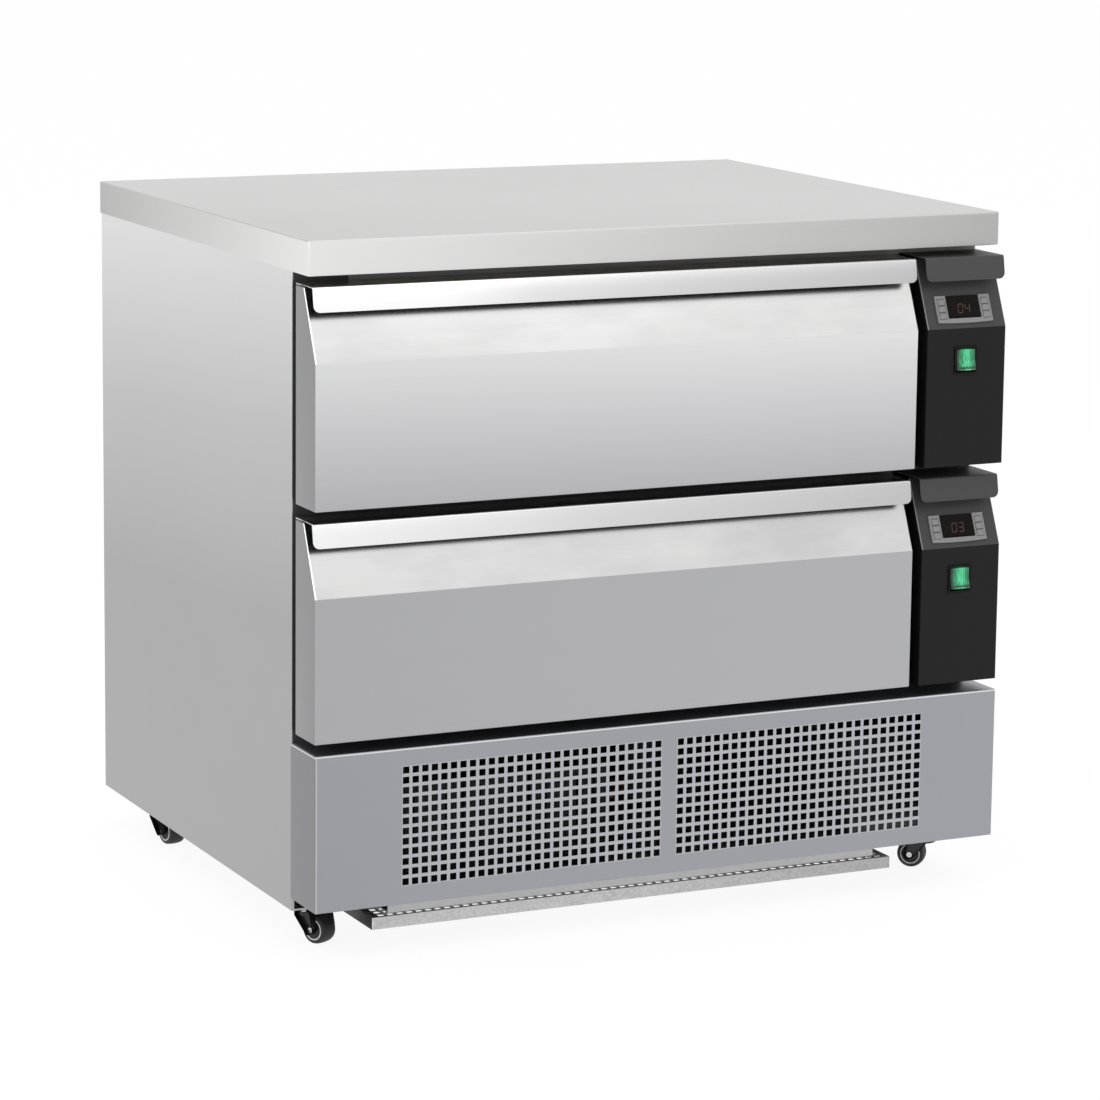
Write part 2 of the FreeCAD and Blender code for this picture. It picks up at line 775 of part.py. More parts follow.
def make_box(level):
    # A pressed pan that hangs between the runners, its rim turned out and its floor drained.
    name = f"{level}_box"
    low = f"({opening_low(level)} + box_lift)"
    body = new_body(name, x=box_left, y=door_back, z=low)
    width = f"({box_right} - {box_left})"
    floor = rectangle(body, f"{name}_outline", "XY_Plane", ("0", width), ("0", box_length))
    pad(body, f"{name}_block", floor, "box_height")
    tall = value("box_height")
    length = value(box_length)
    inner = rectangle(body, f"{name}_inner_outline", "XY_Plane", ("box_sheet", f"{width} - box_sheet"),
                      ("box_sheet", f"{box_length} - box_sheet"), "box_height")
    hollow = pocket(body, f"{name}_hollow", inner, "box_height - box_sheet")
    wall = value("box_sheet")
    inside = round_edges(body, f"{name}_inner_corners", hollow, "box_corner - box_sheet",
                         lambda m, e: near(m.z, (tall + wall) / 2) and near(m.y, length - wall))
    round_edges(body, f"{name}_corners", inside, "box_corner",
                lambda m, e: near(m.z, tall / 2) and near(m.y, length))
    for side, (left, right) in (("left", ("-box_rim", "box_sheet")),
                                ("right", (f"{width} - box_sheet", f"{width} + box_rim"))):
        rim = rectangle(body, f"{name}_{side}_rim_outline", "XY_Plane", (left, right),
                        ("2 * box_corner", f"{box_length} - 2 * box_corner"), "box_height - box_sheet")
        pad(body, f"{name}_{side}_rim", rim, "box_sheet")
    middle = f"{width} / 2"
    air = rectangle(body, f"{name}_air_outline", "XZ_Plane",
                    (f"{middle} - air_cut_width / 2", f"{middle} + air_cut_width / 2"),
                    ("box_height - air_cut_height", "box_height"), f"-{box_length}")
    pocket(body, f"{name}_air_cut", air, "box_sheet", reverse=True)
    across = f"({middle} - drain_pitch * (drain_columns - 1) / 2)"
    along = f"({box_length} / 2 - drain_pitch * (drain_rows - 1))"
    drain = rectangle(body, f"{name}_drain_outline", "XY_Plane",
                      (f"{across} - drain_width / 2", f"{across} + drain_width / 2"),
                      (f"{along} - drain_length / 2", f"{along} + drain_length / 2"), "box_sheet")
    drain_cut = pocket(body, f"{name}_drain", drain, "box_sheet")
    repeat(body, f"{name}_drains", drain_cut, [
        ("X_Axis", "drain_columns", "drain_pitch * (drain_columns - 1)"),
        ("Y_Axis", "drain_rows", "2 * drain_pitch * (drain_rows - 1)"),
    ])
    keep(group(f"{name}_set", [body] + runner_member(level, 2)), f"{level}_drawer_box")


# Controllers and switches on the control column.
control_middle = f"({housing_left} + housing_width / 2 - controller_shift)"


def sloped(rise, out):
    # A point on the slanted face, in (Y, Z) from the housing's lower front edge: so far up the
    # slope from the kink, and so far out from the face.
    across = f"(({rise}) * slant_back - ({out}) * slant_height) / {slant}"
    up = f"{kink} + (({rise}) * slant_height + ({out}) * slant_back) / {slant}"
    return across, up


def sloped_box(body, name, rise, out):
    (low, high), (inner, outer) = rise, out
    return outline(body, name, "YZ_Plane",
                   [sloped(low, inner), sloped(high, inner), sloped(high, outer), sloped(low, outer)])


def make_housing(level):
    low = levels[level]
    name = f"{level}_housing"
    body = make_shell(name, housing_left, low, "housing_width", "front_depth + gasket_depth")
    middle = "(housing_width / 2 - controller_shift)"
    low_end, high_end = "controller_rise - case_height / 2", "controller_rise + case_height / 2"
    hole = outline(body, f"{name}_controller_outline", "YZ_Plane", [
        sloped(low_end, "-4 * skin"), sloped(high_end, "-4 * skin"), sloped(high_end, "skin"), sloped(low_end, "skin"),
    ], f"{middle} - case_width / 2")
    pocket(body, f"{name}_controller_hole", hole, "case_width", reverse=True)
    sleeve = "(switch_height / 2 - switch_wall)"
    wide = "(rocker_width / 2 + switch_wall)"
    slot = rectangle(body, f"{name}_switch_outline", "XZ_Plane", (f"{middle} - {wide}", f"{middle} + {wide}"),
                     (f"front_height - switch_drop - {sleeve}", f"front_height - switch_drop + {sleeve}"))
    pocket(body, f"{name}_switch_hole", slot, "skin")
    keep(body, f"{level}_control_housing")


def centred(width):
    return (f"-({width}) / 2", f"({width}) / 2")


def make_controller(level):
    # A bezel proud of the slanted face with its case behind, wells for six keys and a window.
    name = f"{level}_controller"
    body = new_body(name, x=control_middle, y=front, z=levels[level])
    middle = "controller_rise"
    half = "controller_height / 2"
    frame = sloped_box(body, f"{name}_bezel_outline",
                       (f"{middle} - {half}", f"{middle} + {half}"), ("0", "controller_proud"))
    frame.setExpression(".AttachmentOffset.Base.z", formula("-controller_width / 2"))
    bezel = pad(body, f"{name}_bezel", frame, "controller_width")
    length, thick = value("controller_width") / 2, value("controller_proud")
    round_edges(body, f"{name}_corners", bezel, "controller_proud",
                lambda m, e: near(abs(m.x), length) and near(e.Length, thick))
    case = sloped_box(body, f"{name}_case_outline",
                      (f"{middle} - case_height / 2", f"{middle} + case_height / 2"), ("-case_depth", "0"))
    case.setExpression(".AttachmentOffset.Base.z", formula("-case_width / 2"))
    pad(body, f"{name}_case", case, "case_width")
    window = sloped_box(body, f"{name}_window_outline",
                        (f"{middle} - window_height / 2", f"{middle} + window_height / 2"),
                        ("controller_proud - window_sheet", "controller_proud + window_sheet"))
    window.setExpression(".AttachmentOffset.Base.z", formula("-window_width / 2"))
    pocket(body, f"{name}_window_seat", window, "window_width", reverse=True)
    for number, (side, row) in enumerate(key_places(), start=1):
        rise = f"({middle} + {row} * key_pitch)"
        well = sloped_box(body, f"{name}_well_outline_{number}",
                          (f"{rise} - key_height / 2 - key_play", f"{rise} + key_height / 2 + key_play"),
                          ("controller_proud - key_well", "controller_proud + key_well"))
        well.setExpression(".AttachmentOffset.Base.z",
                           formula(f"{side} * key_columns_apart / 2 - key_width / 2 - key_play"))
        pocket(body, f"{name}_well_{number}", well, "key_width + 2 * key_play", reverse=True)
    return body


def key_places():
    return [(side, row) for side in (-1, 1) for row in (1, 0, -1)]


def make_window(level):
    name = f"{level}_window"
    body = new_body(name, x=control_middle, y=front, z=levels[level])
    glass = sloped_box(body, f"{name}_outline",
                       ("controller_rise - window_height / 2", "controller_rise + window_height / 2"),
                       ("controller_proud - window_sheet", "controller_proud"))
    glass.setExpression(".AttachmentOffset.Base.z", formula("-window_width / 2"))
    pad(body, f"{name}_pad", glass, "window_width")
    return body


def make_key(level, number, side, row):
    # A rubber key that floats above the floor of its well, free to be pressed in.
    name = f"{level}_key_{number}"
    body = new_body(f"{name}_body", x=f"{control_middle} + {side} * key_columns_apart / 2", y=front,
                    z=levels[level])
    rise = f"(controller_rise + {row} * key_pitch)"
    floor = "(controller_proud - key_well + key_float)"
    face = sloped_box(body, f"{name}_outline", (f"{rise} - key_height / 2", f"{rise} + key_height / 2"),
                      (floor, f"{floor} + key_thick"))
    face.setExpression(".AttachmentOffset.Base.z", formula("-key_width / 2"))
    pad(body, f"{name}_pad", face, "key_width")
    keep(body, name)


def make_switch(level):
    # The bezel and the sleeve behind it, with the rocker's two pivot pins inside.
    name = f"{level}_switch"
    centre = f"({levels[level]} + front_height - switch_drop)"
    half = "(switch_height / 2)"
    across = "switch_width / 2"
    plate = box(f"{name}_plate", (f"{control_middle} - {across}", f"{control_middle} + {across}"),
                (f"{front} - switch_bezel", front), (f"{centre} - {half}", f"{centre} + {half}"))
    wide = "(rocker_width / 2 + switch_wall)"
    sleeve = box(f"{name}_sleeve", (f"{control_middle} - {wide}", f"{control_middle} + {wide}"),
                 (f"{front}", f"{front} + switch_sleeve"),
                 (f"{centre} - {half} + switch_wall", f"{centre} + {half} - switch_wall"))
    inner = "(rocker_width / 2 + rocker_play)"
    tall = "(rocker_half + 2 * rocker_play)"
    hollow = box(f"{name}_hollow", (f"{control_middle} - {inner}", f"{control_middle} + {inner}"),
                 (f"{front} - 2 * switch_bezel", f"{front} + switch_sleeve - switch_wall"),
                 (f"{centre} - {tall}", f"{centre} + {tall}"))
    shell = cut(f"{name}_shell", fuse(f"{name}_outside", [plate, sleeve]), [hollow])
    pin = rod(f"{name}_pin", "x", f"{control_middle} - {inner} - switch_wall / 4",
              f"{front} - rocker_sunk + rocker_pivot * cos(rocker_swing / 2)", centre, "pivot_radius",
              f"2 * {inner} + switch_wall / 2")
    return fuse(f"{name}_bezel", [shell, pin])


def make_rocker(level):
    # Two flat halves that meet at an obtuse angle. At rest the upper half is pressed level and
    # the lower half stands out. The pivot lies on the line that halves the angle.
    name = f"{level}_rocker"
    pivot_y = f"({front} - rocker_sunk + rocker_pivot * cos(rocker_swing / 2))"
    pivot_z = f"({levels[level]} + front_height - switch_drop)"
    body = new_body(name, x=control_middle, y=pivot_y, z=pivot_z)
    ridge_y = "(-rocker_pivot * cos(rocker_swing / 2))"
    ridge_z = "(rocker_pivot * sin(rocker_swing / 2))"
    low_y = f"({ridge_y} - rocker_half * sin(rocker_swing))"
    low_z = f"({ridge_z} - rocker_half * cos(rocker_swing))"
    back = "(rocker_pivot / 2)"
    face = outline(body, f"{name}_outline", "YZ_Plane", [
        (ridge_y, ridge_z),
        (ridge_y, "rocker_half"),
        (f"{ridge_y} + 2 * switch_bezel", "rocker_half"),
        (back, "pivot_radius * 2"),
        (back, "-pivot_radius * 2"),
        (f"{low_y} + 3 * switch_bezel", low_z),
        (low_y, low_z),
    ], "-rocker_width / 2")
    pad(body, f"{name}_pad", face, "rocker_width")
    bore = circle(body, f"{name}_bore_outline", "YZ_Plane", "0", "0", "pivot_radius + axle_play",
                  "-rocker_width / 2")
    pocket(body, f"{name}_bore", bore, "rocker_width", reverse=True)
    keep(body, f"{level}_switch_rocker")


def make_controls():
    controllers = []
    windows = []
    switches = []
    for level in levels:
        make_housing(level)
        controllers.append(make_controller(level))
        windows.append(make_window(level))
        switches.append(make_switch(level))
        make_rocker(level)
        for number, (side, row) in enumerate(key_places(), start=1):
            make_key(level, number, side, row)
    keep(group("controllers", controllers), "controller_bezels")
    keep(group("windows", windows), "display_windows")
    keep(group("switches", switches), "switch_bezels")


# Base panel, chassis and guard.
def make_base_panel():
    # A pan open to the back, with two fields of square holes in its face.
    body = new_body("base_panel_body", x=front_left, y=front, z=base_low)
    deep = "(front_depth + gasket_depth)"
    face = rectangle(body, "base_outline", "XZ_Plane", ("0", "worktop_width"), ("0", "base_height"))
    block = pad(body, "base_block", face, deep, reverse=True)
    width, tall = value("worktop_width"), value("base_height")
    round_edges(body, "base_folds", block, "skin_fold",
                lambda m, e: near(m.y, 0) and (near(m.x, 0) or near(m.x, width) or near(m.z, 0) or near(m.z, tall)))
    hollow = rectangle(body, "base_hollow_outline", "XZ_Plane", ("panel_sheet", "worktop_width - panel_sheet"),
                       ("panel_sheet", "base_height - panel_sheet"), f"-{deep}")
    pocket(body, "base_hollow", hollow, f"{deep} - panel_sheet", reverse=True)
    field = "(grille_pitch * (grille_columns - 1))"
    left = f"(worktop_width / 2 + grille_shift - grille_gap / 2 - {field})"
    low = "(base_height / 2 - grille_pitch * (grille_rows - 1) / 2)"
    hole = rectangle(body, "grille_outline", "XZ_Plane", (f"{left} - grille_hole / 2", f"{left} + grille_hole / 2"),
                     (f"{low} - grille_hole / 2", f"{low} + grille_hole / 2"))
    hole_cut = pocket(body, "grille_hole_cut", hole, "panel_sheet")
    repeat(body, "grille_fields", hole_cut, [
        ("X_Axis", "grille_columns", field),
        ("Z_Axis", "grille_rows", "grille_pitch * (grille_rows - 1)"),
        ("X_Axis", "2", f"{field} + grille_gap"),
    ])
    keep(body, "base_panel")


def guard_pads():
    # The raised pads between chassis and guard: three under the tongue, three near the guard's end.
    middle = f"(({guard_right} + {guard_left}) / 2)"
    ahead = f"{worktop_front} + 6 * pad_radius"
    behind = f"{worktop_front} + guard_length - 3 * pad_radius"
    row_ahead = [(x, ahead) for x in (f"{tongue_left} + 2 * pad_radius", middle, f"{tongue_right} - 2 * pad_radius")]
    row_behind = [(x, behind) for x in (f"{guard_left} + 3 * pad_radius", middle, f"{guard_right} - 3 * pad_radius")]
    return row_ahead + row_behind


def make_chassis():
    # The floor plate of the unit: a tongue to the front, upstands inside the casing, pads below.
    low, high = cabinet_low, chassis_high
    floor = box("chassis_plate", (f"-{side_in}", side_in), (cabinet_front, f"{cabinet_back} - 2 * casing_sheet"),
                (low, high))
    wide = (tongue_left, tongue_right)
    tongue = box("chassis_tongue", wide, (worktop_front, cabinet_front), (low, high))
    lip = box("chassis_front_lip", wide, (worktop_front, f"{worktop_front} + chassis_sheet"), (low, base_low))
    stands = []
    for side, outer, inner in (("left", f"-{side_in}", f"-{side_in} + chassis_sheet"),
                               ("right", f"{side_in} - chassis_sheet", side_in)):
        stands.append(box(f"chassis_{side}_upstand", (outer, inner),
                          (cabinet_front, f"{cabinet_back} - 2 * casing_sheet"), (low, f"{low} + chassis_upstand")))
    pads = [rod(f"chassis_pad_{number}", "z", x, y, f"{low} - guard_drop", "pad_radius",
                "guard_drop + chassis_sheet / 2") for number, (x, y) in enumerate(guard_pads())]
    keep(fuse("chassis", [floor, tongue, lip] + stands + pads), "base_chassis")


def make_guard():
    # A perforated sheet under the chassis, its front and side edges turned down.
    low = "(caster_height - guard_drop - guard_lip)"
    body = new_body("guard", x=guard_left, y=f"{worktop_front} - guard_set", z=low)
    width = guard_width
    plan = rectangle(body, "guard_outline", "XY_Plane", ("0", width), ("0", "guard_length"))
    pad(body, "guard_block", plan, "guard_lip")
    hollow = rectangle(body, "guard_hollow_outline", "XY_Plane", ("guard_sheet", f"{width} - guard_sheet"),
                       ("guard_sheet", "guard_length"))
    pocket(body, "guard_hollow", hollow, "guard_lip - guard_sheet", reverse=True)
    first = f"({width} / 2 - grille_pitch * ({guard_columns} - 1) / 2)"
    hole = rectangle(body, "guard_hole_outline", "XY_Plane",
                     (f"{first} - grille_hole / 2", f"{first} + grille_hole / 2"),
                     ("grille_hole / 2", "grille_hole * 3 / 2"), "guard_lip")
    hole_cut = pocket(body, "guard_hole", hole, "guard_sheet")
    repeat(body, "guard_holes", hole_cut, [
        ("X_Axis", guard_columns, f"grille_pitch * ({guard_columns} - 1)"),
        ("Y_Axis", "guard_rows", "grille_pitch * (guard_rows - 1)"),
    ])
    keep(body, "bottom_guard")


# Casters: a plate under the chassis, a fork that swivels and a wheel that trails behind.
corners_of_base = {
    "front_left": (caster_left, f"({cabinet_front} + caster_front)"),
    "front_right": (caster_right, f"({cabinet_front} + caster_front)"),
    "rear_left": (caster_left, f"({cabinet_back} - caster_rear)"),
    "rear_right": (caster_right, f"({cabinet_back} - caster_rear)"),
}


def turned(item, corner):
    # Turns a caster piece about its upright swivel axis, then puts it under its corner.
    x, y = corners_of_base[corner]
    item.Placement = Placement(Vector(), Rotation(Vector(0, 0, 1), value(f"{corner}_turn")))
    return place(item, x, y)


def make_fork(corner):
    # A pressed fork: a round cap over the wheel, two arms that narrow to the axle, and the axle.
    name = f"{corner}_fork"
    top = "(caster_height - plate_sheet - fork_play)"
    under = f"({top} - fork_cap_depth)"
    wide = "(wheel_width / 2 + fork_play)"
    body = new_body(f"{name}_body")
    ring = circle(body, f"{name}_cap_outline", "XY_Plane", "0", "0", "fork_cap", under)
    pad(body, f"{name}_cap", ring, "fork_cap_depth")
    collar = circle(body, f"{name}_collar_outline", "XY_Plane", "0", "0", "fork_collar", top)
    pad(body, f"{name}_collar", collar, "fork_play / 2")
    arch = circle(body, f"{name}_arch_outline", "YZ_Plane", "-fork_offset", "wheel_radius",
                  "wheel_radius + 2 * fork_play", f"-{wide}")
    pocket(body, f"{name}_arch", arch, f"2 * {wide}", reverse=True)
    arm = [
        ("fork_cap / 2", f"{top} - fork_sheet"), ("-fork_cap / 2 - fork_offset / 2", f"{top} - fork_sheet"),
        ("-fork_offset - fork_end", "wheel_radius"), ("-fork_offset - fork_end / 2", "wheel_radius - fork_end"),
        ("-fork_offset + fork_end / 2", "wheel_radius - fork_end"), ("-fork_offset + fork_end", "wheel_radius"),
        ("fork_cap / 2", f"{under}"),
    ]
    for side, offset in (("left", f"-{wide} - fork_sheet"), ("right", wide)):
        shape = outline(body, f"{name}_{side}_arm_outline", "YZ_Plane", arm, offset)
        pad(body, f"{name}_{side}_arm", shape, "fork_sheet")
    axle = circle(body, f"{name}_axle_outline", "YZ_Plane", "-fork_offset", "wheel_radius", "axle_radius",
                  f"-{wide} - fork_sheet")
    pad(body, f"{name}_axle", axle, f"2 * ({wide} + fork_sheet)")
    nuts = [hexagon(f"{name}_{side}_nut", "x", x, "-fork_offset", "wheel_radius", "nut_radius", "nut_height")
            for side, x in (("left", f"-{wide} - fork_sheet - nut_height"), ("right", f"{wide} + fork_sheet"))]
    keep(turned(group(name, [body] + nuts), corner), f"{corner}_caster_fork")


def make_wheel(corner):
    # A hub with hollowed faces and a crowned tyre, both turned about the axle.
    name = f"{corner}_wheel"
    half = "wheel_width / 2"
    hub = new_body(f"{name}_hub", y="-fork_offset", z="wheel_radius")
    dish = "(hub_boss + hub_radius) / 2"
    profile = outline(hub, f"{name}_hub_outline", "XZ_Plane", [
        (f"-{half}", "axle_radius + axle_play"), (half, "axle_radius + axle_play"), (half, "hub_boss"),
        (f"{half} - hub_hollow", dish), (half, "hub_radius"), (f"-{half}", "hub_radius"),
        (f"-{half} + hub_hollow", dish), (f"-{half}", "hub_boss"),
    ])
    revolve(hub, f"{name}_hub_turned", profile)
    tyre = new_body(f"{name}_tyre", y="-fork_offset", z="wheel_radius")
    section = outline(tyre, f"{name}_tyre_outline", "XZ_Plane", [
        (f"-{half}", "hub_radius"), (half, "hub_radius"), (half, "wheel_radius - tyre_crown / 3"),
        (f"{half} - tyre_crown", "wheel_radius"), (f"-{half} + tyre_crown", "wheel_radius"),
        (f"-{half}", "wheel_radius - tyre_crown / 3"),
    ])
    revolve(tyre, f"{name}_tyre_turned", section)
    keep(turned(group(name, [hub, tyre]), corner), f"{corner}_caster_wheel")


def revolve(body, name, sketch, axis="X_Axis"):
    axes = {item.Role: item for item in body.Origin.OriginFeatures}
    item = body.newObject("PartDesign::Revolution", name)
    item.Profile = sketch
    item.ReferenceAxis = (axes[axis], [""])
    item.Angle = 360
    return item


def make_casters():
    plates = []
    for corner, (x, y) in corners_of_base.items():
        half = "plate_side / 2"
        plates.append(box(f"{corner}_plate", (f"{x} - {half}", f"{x} + {half}"),
                          (f"{y} - {half}", f"{y} + {half}"), ("caster_height - plate_sheet", "caster_height")))
        make_fork(corner)
        make_wheel(corner)
    keep(group("caster_plate_set", plates), "caster_plates")


# Fans, coils and the other pieces of the refrigerating unit.
def make_fan(label, radius, axis, x, y, z):
    # Pitched blades that widen outwards, built about the local +Z axis and then turned to the shaft.
    rim, hub, deep = value(radius), value("fan_hub"), value("fan_hub_depth")
    blades, pitch, thin = int(value("fan_blades")), value("fan_pitch"), value("blade_sheet")
    tip_share = value("blade_tip_share")
    solid = Part.makeCylinder(hub, deep)
    for number in range(blades):
        rings = []
        for reach, chord in ((value("blade_root_depth"), value("blade_root")), (rim, rim * tip_share)):
            corners = [Vector(reach, a * chord / 2, b * thin / 2) for a, b in ((-1, -1), (1, -1), (1, 1), (-1, 1))]
            ring = Part.makePolygon(corners + corners[:1])
            ring.rotate(Vector(), Vector(1, 0, 0), pitch)
            ring.translate(Vector(0, 0, deep / 2))
            rings.append(ring)
        blade = Part.makeLoft(rings, True, True)
        blade.rotate(Vector(), Vector(0, 0, 1), 360 * number / blades)
        solid = solid.fuse(blade)
    solid = solid.cut(Part.makeCylinder(value("shaft_radius") + value("axle_play"), deep))
    item = doc.addObject("Part::Feature", label)
    item.Shape = solid
    item.Placement = Placement(Vector(), turns[axis])
    keep(place(item, x, y, z), label)


def fan_frame(name, radius, axis, x, y, z, plate=None):
    # A ring around the fan, two crossed struts behind it, the motor and the shaft it turns on.
    body = doc.addObject("PartDesign::Body", name)
    opening = f"({radius} + fan_play)"
    ring = circle(body, f"{name}_ring_outline", "XY_Plane", "0", "0", f"{opening} + shroud_wall")
    pad(body, f"{name}_ring", ring, "shroud_depth")
    if plate:
        wide, tall = plate
        square = rectangle(body, f"{name}_plate_outline", "XY_Plane", centred(wide), centred(tall))
        pad(body, f"{name}_plate", square, "shroud_wall")
    mouth = circle(body, f"{name}_mouth_outline", "XY_Plane", "0", "0", opening)
    pocket(body, f"{name}_mouth", mouth, "shroud_depth", reverse=True)
    behind = "(shroud_depth - strut_sheet)"
    reach = f"({opening} + shroud_wall / 2)"
    for turn, across, up in ((0, reach, "strut_width / 2"), (1, "strut_width / 2", reach)):
        strut = rectangle(body, f"{name}_strut_outline_{turn}", "XY_Plane",
                          (f"-{across}", across), (f"-{up}", up), behind)
        pad(body, f"{name}_strut_{turn}", strut, "strut_sheet")
    motor = circle(body, f"{name}_motor_outline", "XY_Plane", "0", "0", "motor_radius", behind)
    pad(body, f"{name}_motor", motor, "motor_length")
    shaft = circle(body, f"{name}_shaft_outline", "XY_Plane", "0", "0", "shaft_radius", behind)
    pad(body, f"{name}_shaft", shaft, f"{behind} - fan_set_in", reverse=True)
    body.Placement = Placement(Vector(), turns[axis])
    return place(body, x, y, z)


def coil(name, x, y, z, fins, along):
    # A finned block with end plates: every other gap is cut from above, the rest from below.
    block = box(f"{name}_block", x, y, z)
    (low, high), (bottom, top) = (x if along == "x" else y), z
    count = int(value(fins))
    tools = []
    for number in range(1, count):
        centre = f"{low} + ({high} - {low}) * {number} / {count}"
        span = (f"{centre} - fin_gap / 2", f"{centre} + fin_gap / 2")
        rest = (f"{bottom} - fin_gap", f"{top} - 3 * fin_gap")
        if number % 2:
            rest = (f"{bottom} + 3 * fin_gap", f"{top} + fin_gap")
        wide = (f"{x[0]} - fin_gap", f"{x[1]} + fin_gap")
        deep = (f"{y[0]} - fin_gap", f"{y[1]} + fin_gap")
        sides = (span, deep) if along == "x" else (wide, span)
        tools.append(box(f"{name}_gap_{number}", *sides, rest))
    return cut(f"{name}_fins", block, tools)


def bends(name, x, y, z, rise, count):
    # Return bends that lie along a coil's end plate, one above the other.
    return [rod(f"{name}_{number}", "z", x, y, f"{z} + {number} * {rise}", "coil_tube", "2 * coil_bend")
            for number in range(count)]


def suction_z(level):
    return f"({opening_low(level)} + evaporator_lift + evaporator_height / 2)"


def make_evaporators():
    parts = []
    for level in levels:
        low = opening_low(level)
        x = (evaporator_x, f"{evaporator_x} + evaporator_depth")
        z = (f"{low} + evaporator_lift", f"{low} + evaporator_lift + evaporator_height")
        fins = coil(f"{level}_evaporator", x, (evaporator_y, evaporator_end), z, "evaporator_fins", "y")
        plates = [box(f"{level}_evaporator_{name}_plate", x, y, (low, z[1])) for name, y in (
            ("front", (f"{evaporator_y} - strut_sheet", evaporator_y)),
            ("rear", (evaporator_end, f"{evaporator_end} + strut_sheet")))]
        rings = bends(f"{level}_evaporator_bend", f"{x[0]} + evaporator_depth / 4",
                      f"{evaporator_end} + strut_sheet + coil_tube / 2", f"{z[0]} + coil_bend", "(3 * coil_bend)", 3)
        stub = rod(f"{level}_evaporator_stub", "y", riser_x, f"{evaporator_end} + strut_sheet / 2",
                   suction_z(level), "pipe_radius", "stub_length")
        parts.append(fuse(f"{level}_evaporator_coil", [fins] + plates + rings + [stub]))
        frame = fan_frame(f"{level}_fan_frame", "evaporator_fan_radius", "x", duct_right,
                          f"{frame_back} + fan_set", f"{low} + fan_rise")
        parts.append(frame)
        make_fan(f"{level}_evaporator_fan", "evaporator_fan_radius", "x", f"{duct_right} + fan_set_in",
                 f"{frame_back} + fan_set", f"{low} + fan_rise")
    keep(group("evaporator_set_of_two", parts), "evaporators")


def make_condenser():
    x = (condenser_left, condenser_right)
    z = (chassis_high, f"{chassis_high} + condenser_height")
    fins = coil("condenser", x, (condenser_y, condenser_back), z, "condenser_fins", "x")
    rings = bends("condenser_bend", f"{condenser_right} + coil_tube / 2", f"{condenser_y} + condenser_depth / 3",
                  f"{chassis_high} + coil_bend", "(3 * coil_bend)", 3)
    stub = rod("condenser_stub", "x", f"{condenser_right} - coil_tube / 4",
               f"{condenser_back} - 2 * pipe_radius", pipe_z, "pipe_radius", "stub_length + coil_tube / 4")
    keep(fuse("condenser", [fins] + rings + [stub]), "condenser_coil")
    middle_x = f"({condenser_left} + condenser_width / 2)"
    middle_z = f"({chassis_high} + condenser_height / 2)"
    shroud = fan_frame("condenser_shroud", "condenser_fan_radius", "y", middle_x, condenser_back, middle_z,
                       ("condenser_width", "condenser_height"))
    keep(shroud, "condenser_fan_shroud")
    make_fan("condenser_fan", "condenser_fan_radius", "y", middle_x, f"{condenser_back} + fan_set_in", middle_z)


def make_compressor():
    # A welded shell with a domed top on a foot plate, which stands on four rubber feet.
    shell = new_body("compressor_shell", compressor_x, "compressor_y", f"{chassis_high} + compressor_foot")
    tall, wide, lip = "compressor_height", "compressor_radius", "compressor_seam"
    seam = f"({tall} / 2)"
    profile = outline(shell, "compressor_outline", "XZ_Plane", [
        ("0", "0"), (wide, "0"), (wide, seam), (f"{wide} + {lip}", seam), (f"{wide} + {lip}", f"{seam} + {lip}"),
        (wide, f"{seam} + {lip}"), (wide, f"{tall} - compressor_dome"), ("compressor_crown", tall), ("0", tall),
    ])
    revolve(shell, "compressor_turned", profile, "Z_Axis")
    reach = "(foot_span / 2 + foot_radius)"
    plate = box("compressor_foot_plate", (f"{compressor_x} - {reach}", f"{compressor_x} + {reach}"),
                ("compressor_y - foot_plate_depth / 2", "compressor_y + foot_plate_depth / 2"),
                (f"{chassis_high} + compressor_foot", f"{chassis_high} + compressor_foot + foot_plate"))
    starts = (f"{compressor_x} - compressor_radius - stub_length",
              f"{compressor_x} + compressor_radius - foot_plate")
    stubs = [rod(f"compressor_stub_{number}", "x", x, "compressor_y", pipe_z, "pipe_radius",
                 "stub_length + foot_plate") for number, x in enumerate(starts)]
    feet = [rod(f"compressor_foot_{number}", "z", f"{compressor_x} + {a} * foot_span / 2",
                f"compressor_y + {b} * foot_apart / 2", chassis_high, "foot_radius", "compressor_foot")
            for number, (a, b) in enumerate(((-1, -1), (1, -1), (-1, 1), (1, 1)))]
    keep(group("compressor_set", [fuse("compressor_solid", [shell, plate] + stubs)] + feet), "compressor")


def tube(name, points):
    # A tube through corners that are bound to the sheet. Each bend is cut short in two equal
    # mitres, and the section is a polygon, so that every side of the tube stays flat.
    corners = []
    for number, (x, y, z) in enumerate(points):
        corners.append(bind(doc.addObject("Part::Vertex", f"{name}_corner_{number}"), X=x, Y=y, Z=z))
    doc.recompute()
    route = [Vector(float(corner.X), float(corner.Y), float(corner.Z)) for corner in corners]
    setback, radius, sides = value("pipe_bend"), value("pipe_radius"), int(value("pipe_sides"))
    line = route[:1]
    for before, corner, after in zip(route, route[1:], route[2:]):
        line += [corner + (before - corner).normalize() * setback, corner + (after - corner).normalize() * setback]
    line.append(route[-1])
    turn = Rotation(Vector(0, 0, 1), line[1] - line[0])
    ring = [line[0] + turn.multVec(Vector(radius * math.cos(math.tau * i / sides),
                                          radius * math.sin(math.tau * i / sides), 0)) for i in range(sides)]
    section = Part.makePolygon(ring + ring[:1])
    item = doc.addObject("Part::Feature", name)
    item.Shape = Part.makePolygon(line).makePipeShell([section], True, False, 1)
    return item


